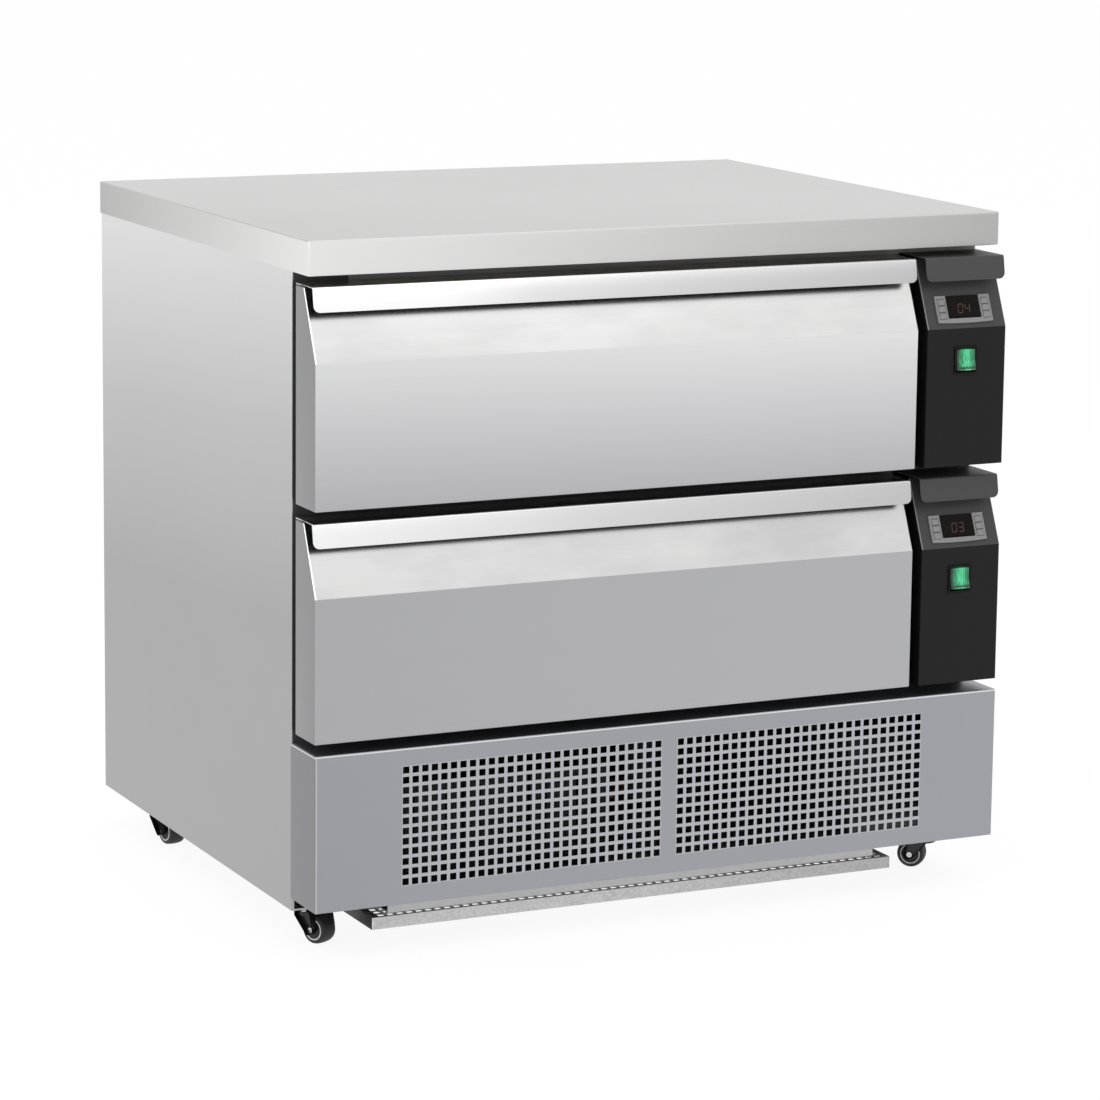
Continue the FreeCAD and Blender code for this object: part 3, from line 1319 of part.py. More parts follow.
def make_pipes():
    condenser_tube_y = f"({condenser_back} - 2 * pipe_radius)"
    stub_end = f"{evaporator_end} + strut_sheet / 2 + stub_length"
    hot = tube("hot_gas_pipe", [
        (f"{compressor_x} - compressor_radius - stub_length", "compressor_y", pipe_z),
        (f"{condenser_right} + hot_pipe_set", "compressor_y", pipe_z),
        (f"{condenser_right} + hot_pipe_set", condenser_tube_y, pipe_z),
        (f"{condenser_right} + stub_length", condenser_tube_y, pipe_z),
    ])
    suction = tube("suction_pipe", [
        (f"{compressor_x} + compressor_radius + stub_length", "compressor_y", pipe_z),
        (riser_x, "compressor_y", pipe_z),
        (riser_x, riser_y, pipe_z),
        (riser_x, riser_y, suction_z("upper")),
        (riser_x, stub_end, suction_z("upper")),
    ])
    branch = rod("suction_branch", "y", riser_x, stub_end, suction_z("lower"), "pipe_radius",
                 f"{riser_y} - ({stub_end})")
    keep(group("pipes", [hot, fuse("suction_line", [suction, branch])]), "refrigerant_pipes")


def make_electrics():
    x = (electric_left, f"{electric_left} + electric_width")
    y = (f"{cabinet_front} + condenser_set", f"{cabinet_front} + condenser_set + electric_depth")
    split = f"({chassis_high} + electric_height - electric_lid)"
    case = new_body("electric_case")
    plan = rectangle(case, "electric_outline", "XY_Plane", x, y, chassis_high)
    block = pad(case, "electric_block", plan, f"{split} - {chassis_high}")
    middle = (value(split) + value(chassis_high)) / 2
    round_edges(case, "electric_corners", block, "electric_corner", lambda m, e: near(m.z, middle))
    over = "electric_over"
    lid = box("electric_lid", (f"{x[0]} - {over}", f"{x[1]} + {over}"), (f"{y[0]} - {over}", f"{y[1]} + {over}"),
              (split, f"{split} + electric_lid"))
    keep(group("electric_set", [case, lid]), "electrical_box")


def make_gland():
    outer = f"({cabinet_back} - casing_sheet)"
    nut = hexagon("gland_nut", "y", gland_x, outer, "gland_z", "gland_hex", "gland_nut_height")
    stem = rod("gland_stem", "y", gland_x, f"{outer} - gland_length", "gland_z", "gland_bore + gland_wall",
               "gland_length + gland_nut_height / 2")
    lock = hexagon("gland_lock", "y", gland_x, f"{outer} - casing_sheet - gland_nut_height", "gland_z",
                   "gland_hex", "gland_nut_height")
    bore = rod("gland_bore_tool", "y", gland_x, f"{outer} - 2 * gland_length", "gland_z", "gland_bore",
               "3 * gland_length")
    keep(cut("gland", fuse("gland_solid", [nut, stem, lock]), [bore]), "cable_gland")


def finish():
    doc.recompute()
    for item in doc.Objects:
        if "Invalid" in item.State or "Error" in item.State:
            raise RuntimeError(f"{item.Name} failed: {item.State}")
    for item in pieces:
        if item.Shape.isNull() or not item.Shape.isValid() or not item.Shape.Solids:
            raise RuntimeError(f"{item.Label} has no valid shape")
    os.makedirs("parts", exist_ok=True)
    for item in pieces:
        item.Shape.exportStep(f"parts/{item.Label}.step")
        print(item.Label, len(item.Shape.Solids), round(item.Shape.Volume))


make_worktop()
make_side_panel("left_side_panel", -1)
make_side_panel("right_side_panel", 1)
make_back_panel()
make_front_frame()
make_insulation()
make_liners()
keep(group("runners_on_cabinet", runner_member("upper", 0) + runner_member("lower", 0)), "cabinet_runners")
for level in levels:
    make_drawer(level)
    keep(group(f"{level}_runners_between", runner_member(level, 1)), f"{level}_middle_runners")
make_controls()
make_base_panel()
make_chassis()
make_guard()
make_casters()
make_evaporators()
make_condenser()
make_compressor()
make_pipes()
make_electrics()
make_gland()
finish()
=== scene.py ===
import math

import bmesh
import bpy
import numpy as np
from mathutils import Matrix, Vector


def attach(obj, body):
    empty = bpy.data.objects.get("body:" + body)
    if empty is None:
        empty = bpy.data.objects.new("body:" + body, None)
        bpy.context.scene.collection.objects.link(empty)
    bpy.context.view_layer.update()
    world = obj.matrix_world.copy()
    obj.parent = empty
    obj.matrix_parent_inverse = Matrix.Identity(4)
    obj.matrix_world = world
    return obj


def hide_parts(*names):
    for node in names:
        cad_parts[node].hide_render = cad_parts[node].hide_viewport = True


# A counter with two refrigerated drawers, a black control column and a perforated base.
# Shapes are worked out in millimetres, in the part's frame, and become metres in meshPiece.
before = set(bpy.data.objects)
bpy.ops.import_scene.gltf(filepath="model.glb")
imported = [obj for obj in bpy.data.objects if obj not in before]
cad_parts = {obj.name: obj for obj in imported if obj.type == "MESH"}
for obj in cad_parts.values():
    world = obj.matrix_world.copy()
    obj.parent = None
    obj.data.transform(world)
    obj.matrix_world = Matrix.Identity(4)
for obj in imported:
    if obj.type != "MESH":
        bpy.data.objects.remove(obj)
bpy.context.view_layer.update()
scene = bpy.context.scene


class Sizes(dict):
    # A dictionary whose entries are read as names: worktop.width.
    __getattr__ = dict.__getitem__


levelLow = {"upper": 526.0, "lower": 258.0}  # lower edge of each drawer front
faceY = -359.0  # plane of the upright front faces
sharpAngle = 35.0  # edges steeper than this stay sharp

# The folded profile that drawer fronts and control housings share, from their lower front edge.
fold = Sizes(tall=253.0, deep=60.0, slantHigh=85.0, slantBack=37.0, lipSet=10.0, lipDrop=28.0,
             lipLean=5.0, lipSheet=1.5, lipFold=2.5, lipCorner=8.0)
housingLeft = 340.5  # left edge of the black control column
louvres = Sizes(low=120.5, pitch=18.0, rows=6, shade=4.5, inner=95.0, outer=245.0)
basePanel = Sizes(width=900.0, low=60.5, high=245.0, deep=73.5, sheet=1.2, fold=1.6, hole=8.0,
                  pitch=12.0, columns=28, rows=12, firstX=(-337.3, 16.7), firstZ=87.1)
guard = Sizes(left=-371.0, right=317.0, front=-340.0, back=113.0, high=42.8, lip=14.4, sheet=1.2,
              hole=8.0, pitch=12.0, columns=56, rows=4, firstY=8.0)
switch = Sizes(middleX=394.0, drop=129.0, width=32.0, height=34.0, proud=2.0, corner=2.0, sleeve=18.0,
               rockerWide=26.0, half=13.3, swing=13.0, pivot=7.0, pivotY=-353.045)


# Mesh tools

def gridFaces(rows, columns, closedRows=False, closedColumns=False):
    # Quads between neighbouring points of a grid; a closed direction joins its end to its start.
    r, c = np.meshgrid(np.arange(rows - (not closedRows)), np.arange(columns - (not closedColumns)),
                       indexing="ij")
    nextRow, nextColumn = (r + 1) % rows, (c + 1) % columns
    here, there = r * columns, nextRow * columns
    quads = [here + c, there + c, there + nextColumn, here + nextColumn]
    return np.stack(quads, -1).reshape(-1, 4).tolist()


def added(name, data):
    made = bpy.data.objects.new(name, data)
    scene.collection.objects.link(made)
    return made


def meshPiece(name, points, faces, finish, body, replaces=()):
    # Merges the doubles of closed shells, points the faces outwards and smooths the shallow edges.
    mesh = bpy.data.meshes.new(name)
    mesh.from_pydata((np.asarray(points, float).reshape(-1, 3) * 0.001).tolist(), [], faces)
    work = bmesh.new()
    work.from_mesh(mesh)
    bmesh.ops.remove_doubles(work, verts=work.verts, dist=2e-6)
    bmesh.ops.dissolve_degenerate(work, edges=work.edges, dist=1e-7)
    bmesh.ops.recalc_face_normals(work, faces=work.faces)
    work.to_mesh(mesh)
    work.free()
    mesh.polygons.foreach_set("use_smooth", np.ones(len(mesh.polygons), bool))
    mesh.set_sharp_from_angle(angle=math.radians(sharpAngle))
    mesh.materials.append(finishes[finish])
    piece = added(name, mesh)
    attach(piece, body)
    if replaces:
        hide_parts(*replaces)
    return piece


def joinShells(*shells):
    # Puts several (points, faces) shells into one, shifting the face numbers of the later ones.
    points, faces, count = [], [], 0
    for shellPoints, shellFaces in shells:
        flat = np.asarray(shellPoints, float).reshape(-1, 3)
        points.append(flat)
        faces += [[index + count for index in face] for face in shellFaces]
        count += len(flat)
    return np.concatenate(points), faces


def unit(vectors):
    return vectors / np.linalg.norm(vectors, axis=1, keepdims=True)


def roundedCorners(corners, radii, steps=5):
    # Each corner of an outline becomes an arc that touches both its sides: it starts and ends
    # at radius over the tangent of the half angle, about a centre on the corner's bisector.
    p = np.asarray(corners, float)
    radius = np.broadcast_to(np.asarray(radii, float), len(p))[:, None]
    back, ahead = unit(np.roll(p, 1, 0) - p), unit(np.roll(p, -1, 0) - p)
    half = np.arccos(np.clip((back * ahead).sum(1), -1, 1))[:, None] / 2
    centre = p + unit(back + ahead) * radius / np.sin(half)
    first = p + back * radius / np.tan(half) - centre
    last = p + ahead * radius / np.tan(half) - centre
    share = np.linspace(0, 1, steps)[None, :, None]
    sweep = (math.pi / 2 - half)[:, None] * 2
    turning = np.where(sweep > 1e-6, sweep, 1.0)
    arc = first[:, None] * np.sin((1 - share) * turning) + last[:, None] * np.sin(share * turning)
    return (centre[:, None] + arc / np.sin(turning)).reshape(-1, 2)


def bar(contour, left, right, edge, grow=None):
    # A closed contour in (y, z) carried along x. Near each end it shrinks along its normals by
    # the edge radius times one minus the sine, so that the ends are rounded over. grow may
    # change the contour by its distance from the nearer end. The ends are flat caps.
    turn = np.linspace(0, math.pi / 2, 5)
    near = np.concatenate([edge * (1 - np.cos(turn)), edge + 8 * (1 - np.cos(np.linspace(0.2, 1.6, 9)))])
    inset = np.concatenate([edge * (1 - np.sin(turn)), np.zeros(9)])
    along = np.roll(contour, -1, 0) - contour
    along /= np.maximum(np.linalg.norm(along, axis=1, keepdims=True), 1e-9)
    side = np.stack([-along[:, 1], along[:, 0]], 1)
    normal = side + np.roll(side, 1, 0)
    normal /= np.maximum((normal * normal).sum(1, keepdims=True), 0.5) / 2
    area = (contour[:, 0] * np.roll(contour[:, 1], -1) - np.roll(contour[:, 0], -1) * contour[:, 1]).sum()
    normal *= math.copysign(1, area)
    reach = edgeReach(contour, edge)
    shapes = contour[None] + normal[None] * np.minimum(inset[:, None], reach[None])[..., None]
    if grow:
        shapes = shapes + grow(contour, near)
    ends = [np.concatenate([np.broadcast_to(x[:, None, None], shapes.shape[:2] + (1,)), shapes], 2)
            for x in (left + near, right - near)]
    points = np.concatenate([ends[0], ends[1][::-1]])
    rows, columns = points.shape[:2]
    faces = gridFaces(rows, columns, closedColumns=True)
    faces += [list(range(columns)), list(range((rows - 1) * columns, rows * columns))[::-1]]
    return points.reshape(-1, 3), faces


def edgeReach(contour, edge):
    # How far each point may move in: thin places, such as a lip, have a point close across.
    gap = np.linalg.norm(contour[:, None] - contour[None], axis=2)
    order = np.abs(np.arange(len(contour))[:, None] - np.arange(len(contour))[None])
    order = np.minimum(order, len(contour) - order)
    across = np.where(order > 6, gap, 99.0).min(1)
    return np.minimum(edge, across * 0.3)


def ring(width, height, corner, profile, steps=6):
    # A profile of (inset, depth) carried round a rectangle with round corners. A corner's own
    # radius shrinks with the inset, and past it the corner's centre moves in along its diagonal.
    turn = (np.arange(4)[:, None] + np.linspace(0, 1, steps)[None]) * math.pi / 2
    signX = np.array([1, -1, -1, 1])[:, None]
    signY = np.array([1, 1, -1, -1])[:, None]
    inset, depth = np.asarray(profile, float).T[:, None, None]
    left = np.maximum(corner - inset, 0)
    past = np.maximum(inset - corner, 0)
    turn, signX, signY = turn[..., None], signX[..., None], signY[..., None]
    across = signX * (width / 2 - corner - past) + left * np.cos(turn)
    up = signY * (height / 2 - corner - past) + left * np.sin(turn)
    return np.stack([across, up, np.broadcast_to(depth, across.shape)], -1).reshape(-1, len(profile), 3)


def steppedPlate(xLines, yLines, top, bottom, solid):
    # A plate of cells between two sets of lines. Every solid cell goes from its bottom to its
    # top, and a wall stands wherever two neighbours differ.
    x0, y0 = np.meshgrid(xLines[:-1], yLines[:-1], indexing="ij")
    x1, y1 = np.meshgrid(xLines[1:], yLines[1:], indexing="ij")

    def flat(z):
        quads = [(x0, y0), (x1, y0), (x1, y1), (x0, y1)]
        return np.stack([np.stack([a, b, z], -1) for a, b in quads], 2)[solid]

    def walls(first, second, place, start, end, order):
        (solidA, topA, bottomA), (solidB, topB, bottomB) = first, second
        both = solidA & solidB
        low = np.where(both, np.minimum(topA, topB), np.where(solidA, bottomA, bottomB))
        high = np.where(both, np.maximum(topA, topB), np.where(solidA, topA, topB))
        needed = (solidA != solidB) | (both & (topA != topB))
        place, start, end = (np.broadcast_to(v, low.shape) for v in (place, start, end))
        corners = [(place, start, low), (place, end, low), (place, end, high), (place, start, high)]
        return np.stack([np.stack([corner[axis] for axis in order], -1) for corner in corners], 2)[needed]

    grids = [np.pad(grid, 1) for grid in (solid, top, bottom)]
    quads = np.concatenate([
        flat(top), flat(bottom),
        walls([g[:-1, 1:-1] for g in grids], [g[1:, 1:-1] for g in grids],
              xLines[:, None], yLines[None, :-1], yLines[None, 1:], (0, 1, 2)),
        walls([g[1:-1, :-1] for g in grids], [g[1:-1, 1:] for g in grids],
              yLines[None], xLines[:-1, None], xLines[1:, None], (1, 0, 2)),
    ])
    return quads.reshape(-1, 3), np.arange(len(quads) * 4).reshape(-1, 4).tolist()


def turnedShell(profile, segments=48):
    # A closed profile of (x, radius) turned once round the x axis.
    angle = np.arange(segments)[:, None] * math.tau / segments
    x, radius = np.asarray(profile, float).T[:, None]
    along = np.broadcast_to(x, (segments, x.shape[1]))
    points = np.stack([along, radius * np.sin(angle), radius * np.cos(angle)], -1)
    return points.reshape(-1, 3), gridFaces(segments, len(profile), True, True)


def pillow(width, height, thick, power=5, steps=13):
    # A raised cushion: thickness times the cube root of one minus the across and up powers,
    # closed by a flat underside.
    line = np.sin(np.linspace(-1, 1, steps) * math.pi / 2)
    u, v = np.meshgrid(line, line, indexing="ij")
    rise = thick * np.cbrt((1 - np.abs(u) ** power) * (1 - np.abs(v) ** power))
    top = np.stack([u * width / 2, v * height / 2, rise], -1)
    under = top * [1, 1, 0]
    faces = gridFaces(steps, steps)
    return joinShells((top, faces), (under, faces))


def lines(*values):
    return np.unique(np.concatenate([np.atleast_1d(np.asarray(v, float)) for v in values]).round(4))


def spansAbout(places, reach):
    return [(at - reach, at + reach) for at in places]


def inside(cuts, spans):
    # Which of the cells between lines have their middle in one of the spans.
    middles = (cuts[1:] + cuts[:-1]) / 2
    return np.any([(middles > low) & (middles < high) for low, high in spans], axis=0)


# Finishes

class Wire:
    # A socket that takes part in Python arithmetic.
    def __init__(self, finish, socket):
        self.finish, self.socket = finish, socket


for short, operation in (("add", "ADD"), ("sub", "SUBTRACT"), ("mul", "MULTIPLY")):
    # The second form stands for a number before the socket.
    setattr(Wire, f"__{short}__", lambda a, b, way=operation: a.finish.reckon(way, a, b))
    setattr(Wire, f"__r{short}__", lambda a, b, way=operation: a.finish.reckon(way, b, a))


class Finish:
    # One node tree. node makes any node from its type, its settings and its inputs; "stops"
    # holds the stops of a color ramp.
    def __init__(self, holder):
        self.holder = holder
        holder.use_nodes = True
        self.tree = holder.node_tree
        self.tree.nodes.clear()

    def node(self, kind, settings=None, inputs=None, output=0):
        made = self.tree.nodes.new("ShaderNode" + kind)
        for key, value in (settings or {}).items():
            if key == "stops":
                while len(made.color_ramp.elements) < len(value):
                    made.color_ramp.elements.new(0.5)
                for element, (position, tone) in zip(made.color_ramp.elements, value):
                    element.position, element.color = position, (*tone, 1)
            else:
                setattr(made, key, value)
        for key, value in (inputs or {}).items():
            if isinstance(value, Wire):
                self.tree.links.new(value.socket, made.inputs[key])
            else:
                made.inputs[key].default_value = value
        return Wire(self, made.outputs[output]) if len(made.outputs) else None

    def reckon(self, operation, *values):
        return self.node("Math", {"operation": operation}, dict(enumerate(values)))

    def place(self, scale=(1, 1, 1)):
        spot = self.node("TexCoord", output="Object")
        return self.node("Mapping", None, {"Vector": spot, "Scale": scale})

    def noise(self, scale, detail=2.0, rough=0.5, stretch=(1, 1, 1)):
        return self.node("TexNoise", None, {"Vector": self.place(stretch), "Scale": scale,
                                            "Detail": detail, "Roughness": rough})

    def coordinate(self, axis):
        spot = self.node("TexCoord", output="Object")
        return self.node("SeparateXYZ", None, {0: spot}, axis)

    def share(self, value, low, high):
        # How far a value has come from low to high, held between none and all.
        return self.node("MapRange", None, {"Value": value, "From Min": low, "From Max": high})

    def between(self, value, low, high):
        # One between two places given in millimetres, fading over 0.4 mm at both.
        return self.share(value, low / 1000 - 0.0002, low / 1000 + 0.0002) * self.share(
            value, high / 1000 + 0.0002, high / 1000 - 0.0002)

    def greys(self, share, *stops):
        colors = [(at, (tone,) * 3) for at, tone in stops]
        return self.node("ValToRGB", {"stops": colors}, {"Fac": share})

    def mixed(self, factor, first, second, way="MIX"):
        # Either side is a socket, a color, or one number for a grey.
        return self.node("Mix", {"data_type": "RGBA", "blend_type": way},
                         {"Factor": factor, 6: colorOf(first), 7: colorOf(second)}, 2)

    def bump(self, height, strength, distance):
        return self.node("Bump", None, {"Height": height, "Strength": strength, "Distance": distance})

    def shade(self, color, rough, more):
        surface = self.node("BsdfPrincipled", None, {"Base Color": color, "Roughness": rough, **more})
        self.node("OutputMaterial", None, {"Surface": surface})
        return self.holder


def colorOf(tone):
    if isinstance(tone, float):
        tone = (tone, tone, tone)
    return (*tone, 1) if isinstance(tone, tuple) else tone


def newFinish(name):
    return Finish(bpy.data.materials.new(name))


def brushedSteel(name, dark, light, rough, grain=(1, 420, 420), cloud=2.6, marks=0.04, shading=None):
    # Fine streaks along the grain, wide soft clouds in the tone, and faint wiping marks. shading
    # may return a painted shade, a grey by place, which the tone is multiplied with.
    f = newFinish(name)
    streak = f.noise(1.0, 3.0, 0.6, grain)
    wide = f.noise(cloud, 2.0, 0.4)
    wiped = f.noise(9.0, 4.0, 0.65, (1, 1, 1.6))
    color = f.mixed(streak * 0.45 + wide * 0.55, dark, light)
    return f.shade(f.mixed(1.0, color, shading(f), "MULTIPLY") if shading else color,
                   rough - 0.05 + streak * 0.07 + wiped * marks,
                   {"Metallic": 1.0, "Normal": f.bump(streak, 0.12, 0.0002)})


def worktopShading(f):
    # Painted light and shade: the top is even; the edges are painted brightest at the front left corner
    # and painted darker away from it.
    away = f.share(f.coordinate("X"), -0.45, 0.45) + f.share(f.coordinate("Y"), -0.337, 0.363)
    edge = f.greys(away, (0.0, 0.96), (0.5, 0.74), (1.0, 0.545))
    return f.mixed(f.share(f.coordinate("Z"), 0.828, 0.8295), edge, 0.62)


def sideShading(f):
    # Painted shade: brightest at the top, and a little darker to the front in the upper part. Inside, in
    # the unit's room, the sheet is painted dark as shade.
    y = f.coordinate("Y")
    rise = f.share(f.coordinate("Z"), 0.045, 0.79) - f.share(y, 0.36, -0.28) * 0.06
    tone = f.greys(rise, (0.0, 0.545), (0.4, 0.545), (0.7, 0.71), (0.98, 0.98))
    away = f.reckon("ABSOLUTE", f.coordinate("X"))
    inner = f.share(away, 0.4482, 0.4476) * f.share(y, 0.358, 0.356) * f.share(y, -0.284, -0.282)
    return f.mixed(inner, tone, 0.05)


def baseShading(f):
    # Painted light and shade: the bars between the holes are painted brighter than the plain sheet, the
    # return at the left end is painted darker, and thin painted highlights follow the upper edge and
    # the left fold.
    b = basePanel
    x, z = f.coordinate("X"), f.coordinate("Z")
    rim = b.hole / 2 + 1
    wide = (b.columns - 1) * b.pitch + rim
    lowZ, highZ = b.firstZ - rim, b.firstZ + (b.rows - 1) * b.pitch + rim
    rows = f.between(z, lowZ, highZ)
    fields = [f.between(x, first - rim, first + wide) * rows for first in b.firstX]
    tone = f.greys(fields[0] + fields[1], (0.0, 0.4), (1.0, 0.52))
    tone = f.mixed(f.share(x, -0.4484, -0.4494), tone, (0.29, 0.285, 0.275))
    tone = f.mixed(f.between(z, b.high - 2.3, b.high - 1.2), tone, (0.9, 0.9, 0.85))
    return f.mixed(f.between(x, -448.9, -447.7), tone, 0.66)


def backShading(f):
    # A soft shade on the sheet under each louvre, in two fields.
    v = louvres
    x, z = f.coordinate("X"), f.coordinate("Z")
    pitch = v.pitch / 1000
    above = f.reckon("FLOORED_MODULO", z - v.low / 1000, pitch)
    under = f.share(above, pitch - v.shade / 1000, pitch - 0.0005)
    sides = f.between(x, -v.outer, -v.inner) + f.between(x, v.inner, v.outer)
    field = f.between(z, v.low - v.shade, v.low + (v.rows - 1) * v.pitch + 1) * sides
    return f.greys(under * field, (0.0, 1.0), (1.0, 0.35))


def guardShading(f):
    # Painted shade: the lip darkens to the right; its left end is painted dark as shade, past a
    # painted highlight on the fold.
    x = f.coordinate("X")
    tone = f.greys(f.share(x, -0.371, 0.317), (0.0, 0.94), (0.5, 0.92), (1.0, 0.73))
    end = guard.left
    tone = f.mixed(f.between(x, end + 0.2, end + 1.4), tone, 1.3)
    return f.mixed(f.share(x, (end + 0.15) / 1000, end / 1000), tone, 0.06)


def foldRegions(f, level):
    # Where a point lies on the folded profile: how far up the upright face, past the kink, on the handle
    # lip, and on the faces that look into the dark behind the lip, which the finishes paint with shade.
    rise = f.coordinate("Z") - levelLow[level] / 1000
    back = f.coordinate("Y") - faceY / 1000
    up = f.share(rise, 0.0, (fold.tall - fold.slantHigh) / 1000)
    kink, top = (fold.tall - fold.slantHigh) / 1000, fold.tall / 1000
    tip = top - fold.lipDrop / 1000
    slant = f.share(rise, kink - 0.0004, kink + 0.0004)
    lip = (1 - f.share(back, 0.0125, 0.0135)) * f.share(rise, tip - 0.002, tip - 0.001)
    lean = fold.lipLean / fold.lipDrop
    sheet = back - (rise - tip) * lean - (fold.lipSet - fold.lipLean) / 1000
    cover = f.share(rise, top - 0.0035, top - 0.0025)
    under = f.reckon("MAXIMUM", lip, cover)
    # The faces behind the lip, for painted shade.
    dark = under * f.share(sheet, 0.0005, 0.001) * (1 - f.share(rise, top - 0.0012, top - 0.0006))
    return up, slant, lip, dark


def frontSteel(name, level, faceShadeTones, slantReflectionTones, lipShadeTones):
    # One drawer front, with painted light and shade: an upright face painted with shade by height and a
    # little darker to the left, with a faint blue tint low down; a polished slant whose clouds are a
    # painted reflection, painted darker to the right and low down, with a painted highlight along its
    # left edge; a lip painted brightest at its left end and darker to the right; returns at the left
    # end painted dark as shade; and painted shade behind the lip.
    f = newFinish(name)
    up, slant, lip, dark = foldRegions(f, level)
    across = f.coordinate("X")
    streak = f.noise(1.0, 3.0, 0.6, (1, 420, 420))
    # The slant's clouds are a painted reflection.
    clouds = f.noise(1.0, 3.0, 0.55, (7.0, 7.0, 17.0))
    low = f.share(f.coordinate("Z"), (levelLow[level] + 215) / 1000, (levelLow[level] + 170) / 1000)
    # The face is painted with shade by height.
    face = f.greys(up, *faceShadeTones)
    polished = f.greys(clouds, *slantReflectionTones)
    # Painted shade: the slant darkens to the right and towards its lower part.
    paintedSlantShade = f.share(across, -0.1, 0.33) + low * 0.6
    polished = f.mixed(paintedSlantShade, polished, (0.88, 0.875, 0.875), "MULTIPLY")
    # A painted highlight along the slant's left edge.
    polished = f.mixed(f.share(across, -0.4480, -0.4488), polished, 1.0)
    # Painted shade: the face darkens a little to the left, and gets a faint blue tint low down.
    face = f.mixed(f.share(across, 0.1, -0.45), face, 0.95, "MULTIPLY")
    face = f.mixed(f.share(f.coordinate("Z"), 0.72, 0.55), face, (1.0, 1.0, 1.03), "MULTIPLY")
    # The lip is painted brightest at its left end and darker to the right.
    edge = f.greys(f.share(across, -0.45, 0.3275), *lipShadeTones)
    color = f.mixed(lip, f.mixed(slant, face, polished), edge)
    # The returns at the left end are painted dark as shade, and the faces behind the lip get painted
    # shade.
    color = f.mixed(f.share(across, -0.44998, -0.4498), (0.285, 0.285, 0.29), color)
    color = f.mixed(dark, color, 0.08)
    return f.shade(f.mixed(streak * 0.03, color, 0.0), 0.27 + streak * 0.04 - slant * 0.04,
                   {"Metallic": 1.0, "Normal": f.bump(streak, 0.025, 0.0001)})


def zincSheet(name, dark, light, rough, size=170.0, shading=None):
    # Spangled zinc: flat crystals of slightly different tone, with a little dust on top.
    f = newFinish(name)
    cell = f.node("TexVoronoi", {"feature": "F1"}, {"Vector": f.place(), "Scale": size}, "Color")
    spot = f.node("SeparateColor", None, {"Color": cell})
    dust = f.noise(60.0, 4.0, 0.6)
    color = f.mixed(spot * 0.6 + dust * 0.4, dark, light)
    # shading may return a painted shade, a grey by place, which the tone is multiplied with.
    return f.shade(f.mixed(1.0, color, shading(f), "MULTIPLY") if shading else color,
                   rough + spot * 0.12 - 0.06, {"Metallic": 1.0, "Normal": f.bump(dust, 0.15, 0.0003)})


def mouldedPlastic(name, dark, light, rough, grain=900.0, relief=0.2, coat=0.0, gloss=0.5):
    # Moulded or coated skin with a fine texture, and a tone that varies a little.
    f = newFinish(name)
    fine = f.noise(grain, 2.0, 0.5)
    wide = f.noise(14.0, 3.0, 0.5)
    return f.shade(f.mixed(wide * 0.6 + fine * 0.4, dark, light), rough - 0.04 + wide * 0.08,
                   {"Specular IOR Level": gloss, "Normal": f.bump(fine, relief, 0.0002),
                    "Coat Weight": coat, "Coat Roughness": 0.12})


def frameCoat(name):
    # The front frame is dark; its top rail, past the seam at its left, is bare and greyer.
    f = newFinish(name)
    fine = f.noise(900.0, 2.0, 0.5)
    rail = f.share(f.coordinate("Z"), 0.777, 0.7775) * f.share(f.coordinate("X"), -0.3805, -0.3795)
    dark = f.mixed(fine, (0.035, 0.036, 0.038), (0.06, 0.06, 0.063))
    return f.shade(f.mixed(rail, dark, 0.36), 0.45 + fine * 0.1, {"Normal": f.bump(fine, 0.2, 0.0002)})


def housingCoat(name, level):
    # Black coat on a folded housing, with painted light and shade: deepest on the upright face and the
    # left side, painted greyer on the slant and the lip, with a painted highlight along the slant's left
    # edge and painted shade behind the lip.
    f = newFinish(name)
    _, slant, lip, dark = foldRegions(f, level)
    fine = f.noise(700.0, 2.0, 0.5)
    face = f.mixed(fine, 0.006, 0.01)
    x, left = f.coordinate("X"), housingLeft / 1000
    folded = f.mixed(f.share(x, left, left + 0.0003), face, 0.065)
    # A painted highlight along the slant's left edge.
    folded = f.mixed(f.between(x, housingLeft + 0.4, housingLeft + 1.5), folded, 0.3)
    color = f.mixed(lip, f.mixed(slant, face, folded), 0.078)
    # Painted shade behind the lip.
    return f.shade(f.mixed(dark, color, 0.004), 0.42 + fine * 0.1,
                   {"Specular IOR Level": 0.2, "Normal": f.bump(fine, 0.25, 0.0002)})


def finnedMetal(name, axis, pitch, tone):
    # Thin fins: a sine wave along one axis shades and lifts the surface between them.
    f = newFinish(name)
    spot = f.node("SeparateXYZ", None, {"Vector": f.place()}, axis)
    wave = f.reckon("SINE", spot * (math.tau / pitch)) * 0.5 + 0.5
    return f.shade(f.mixed(wave, 0.015, tone), 0.42 + f.noise(40.0) * 0.1,
                   {"Metallic": 0.5, "Normal": f.bump(wave, 0.5, 0.001)})


def foamSkin(name):
    f = newFinish(name)
    cells = f.node("TexVoronoi", None, {"Vector": f.place(), "Scale": 700.0}, "Distance")
    wide = f.noise(20.0, 4.0)
    return f.shade(f.mixed(wide, (0.62, 0.52, 0.32), (0.74, 0.66, 0.45)), 0.85 + cells * 0.1,
                   {"Normal": f.bump(cells, 0.3, 0.0005)})


